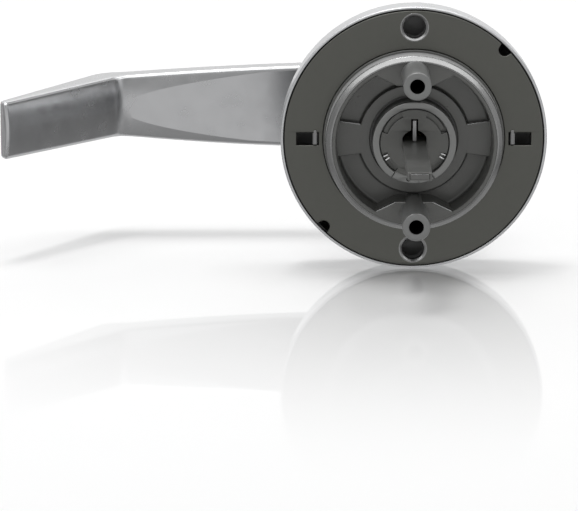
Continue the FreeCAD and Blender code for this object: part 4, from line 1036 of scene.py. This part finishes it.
@dataclass
class KeyCylinder:
    """Springs of the pin tumblers, as coils."""

    first: float = 52.6
    pitch: float = 3.6
    count: int = 5
    low: float = 9.25
    high: float = 12.45
    radius: float = 1.15
    wire: float = 0.17
    turns: int = 7

    def build(self) -> None:
        """One coil for each tumbler."""
        for index in range(self.count):
            centre = np.array([0.0, self.first - self.pitch * index, self.low])
            made = coil(f"tumbler_spring_{index + 1}", centre, self.radius, self.wire, self.turns,
                        self.high - self.low)
            nodes = ("pin_springs",) if index == 0 else ()
            fit(made, "handle", "spring_steel", SPRING, *nodes)


@dataclass
class CatchSpring:
    """Bow spring that shortens while the catch is pressed."""

    fixed: Triple = (0.0, 0.022, 0.0104)
    kept: float = 0.88

    def build(self) -> None:
        """Gives the spring's node a mesh of its own."""
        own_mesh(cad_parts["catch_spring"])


@dataclass
class Studio:
    """Floor, world, lamps and camera."""

    pitch_deg: float = 13.255
    camera_at: Triple = (-0.0379, -1.0447, 0.2097)
    world_level: float = 0.45
    aim: Triple = (-0.04, 0.0, 0.0)
    floor_radius: float = 9.0
    mirror_reach: float = 0.27
    mirror_level: float = 0.75
    lamps: tuple = (
        ("overhead", (0.0, 0.5, 2.2), (2.4, 0.7), 20.0),
        ("overhead_spark", (-0.25, 0.15, 1.7), (0.7, 0.22), 7.0),
        ("back_softbox", (0.0, 2.6, 1.9), (3.0, 1.4), 14.0),
        ("front_fill", (-0.9, -2.2, 1.2), (1.6, 1.6), 3.0),
    )
    flags: tuple = (
        ("front_high", (0.0, -2.6, 1.36), (5.0, 2.5), 0.0, 0.45),
        ("front_top", (0.0, -1.1, 1.9), (4.4, 1.5), 0.0, 3.2),
        ("above_back", (0.0, 1.3, 2.3), (4.4, 1.2), 0.0, 0.3),
        ("below", (0.0, -0.9, -2.3), (5.0, 3.2), 0.0, 0.4),
        ("front_low", (0.0, -2.2, -1.75), (5.0, 2.0), 0.0, 0.45),
        ("right_side", (2.4, 0.8, 0.0), (3.2, 3.0), 90.0, 0.25),
        ("left_side", (-2.4, 0.4, 0.0), (3.8, 3.0), 90.0, 0.5),
    )

    def face(self, name: str, points: Array, material: bpy.types.Material) -> Object:
        """A flat face of the studio.

        Args:
            name: its name.
            points: its corners in metres.
            material: its material.

        Returns:
            The object.
        """
        mesh = bpy.data.meshes.new(name)
        mesh.from_pydata(points.tolist(), [], [list(range(len(points)))])
        mesh.materials.append(material)
        obj = link(name, mesh)
        return obj

    def floor(self) -> None:
        """Polished pale floor that keeps the object's shadow and reflection.

        Its mirror level is the level below the object times the fifth power of one minus the
        distance over the reach, so the reflection fades out with the distance.
        """
        made, build, shader = new_material("polished_floor")
        place = build.add("TexCoord").outputs["Object"]
        far = build.add("VectorMath", operation="LENGTH", i0=place).outputs["Value"]
        near = build.add("MapRange", i0=far, i1=self.mirror_reach, i2=0.0).outputs[0]
        level = build.math("MULTIPLY", build.math("POWER", near, 5.0), self.mirror_level)
        mix = build.add("Mix", data_type="RGBA", i0=build.noise(place, 3.0),
                        i6=(0.95, 0.95, 0.95, 1.0), i7=(0.97, 0.97, 0.97, 1.0))
        build.feed(shader, Base_Color=mix.outputs[2], Roughness=0.02, IOR=2.1,
                   Specular_IOR_Level=level)
        rim = np.insert(circle(self.floor_radius), 2, FLOOR_Z, axis=1)
        self.face("floor", rim, made).visible_glossy = False

    def cards(self) -> None:
        """Grey and bright cards that only reflections show."""
        signs = np.array([[-1, -1], [1, -1], [1, 1], [-1, 1]])
        for name, at, (wide, high), yaw, level in self.flags:
            turn = math.radians(yaw)
            half = np.array([[math.cos(turn) * wide, math.sin(turn) * wide, 0], [0, 0, high]]) / 2
            made, build, shader = new_material(f"card_{name}")
            build.feed(shader, Base_Color=(0.0, 0.0, 0.0, 1.0), Emission_Color=(1.0, 1.0, 1.0, 1.0),
                       Emission_Strength=level)
            obj = self.face(name, at + signs @ half, made)
            obj.visible_camera = obj.visible_diffuse = obj.visible_shadow = False

    def world(self) -> None:
        """Even light, and plain white where a camera, gloss or glass sees past the floor."""
        world = bpy.data.worlds.new("studio")
        bpy.context.scene.world = world
        world.use_nodes = True
        build = NodeBuilder(world.node_tree)
        sky = world.node_tree.nodes["Background"]
        path = build.add("LightPath")
        seen = build.math("MAXIMUM", path.outputs["Is Camera Ray"], path.outputs["Is Glossy Ray"])
        seen = build.math("MAXIMUM", seen, path.outputs["Is Transmission Ray"])
        level = build.add("MapRange", i0=seen, i3=self.world_level, i4=1.0)
        build.feed(sky, Strength=level.outputs[0], Color=(1.0, 1.0, 1.0, 1.0))

    def light(self) -> None:
        """Large soft lamps aimed at the object."""
        for name, at, size, power in self.lamps:
            data = bpy.data.lights.new(name, "AREA")
            data.shape = "RECTANGLE"
            data.size, data.size_y = size
            data.energy = power
            obj = link(name, data)
            obj.location = at
            aim = np.subtract(self.aim, at)
            flat = math.hypot(aim[0], aim[1])
            obj.rotation_euler = (math.atan2(flat, -aim[2]), 0.0, math.atan2(-aim[0], aim[1]))

    def camera(self) -> None:
        """The photograph's camera: level sides, looking down a little, no shift."""
        data = bpy.data.cameras.new("camera")
        data.sensor_width = SENSOR_MM
        data.lens = FOCAL_PIXELS * SENSOR_MM / FRAME_WIDTH
        data.clip_start, data.clip_end = 0.05, 60.0
        obj = link("camera", data)
        obj.location = self.camera_at
        obj.rotation_euler = (math.radians(90 - self.pitch_deg), 0.0, 0.0)
        bpy.context.scene.camera = obj

    def build(self) -> None:
        """Sets the stage."""
        bpy.context.scene.view_settings.view_transform = "Standard"
        self.floor()
        self.cards()
        self.world()
        self.light()
        self.camera()


def main() -> None:
    logging.basicConfig(level=logging.INFO, format="%(message)s")
    for make in (grain_group, lathe_group, edge_group):
        make()
    Studio().build()
    for finish, names in KEPT_NODES.items():
        for name in names:
            paint(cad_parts[name], finish)
    for part in (Rose(), Posts(), Spindle(), Driver(), Lever(), KeyCylinder(), CatchSpring()):
        part.build()


if __name__ == "__main__":
    main()
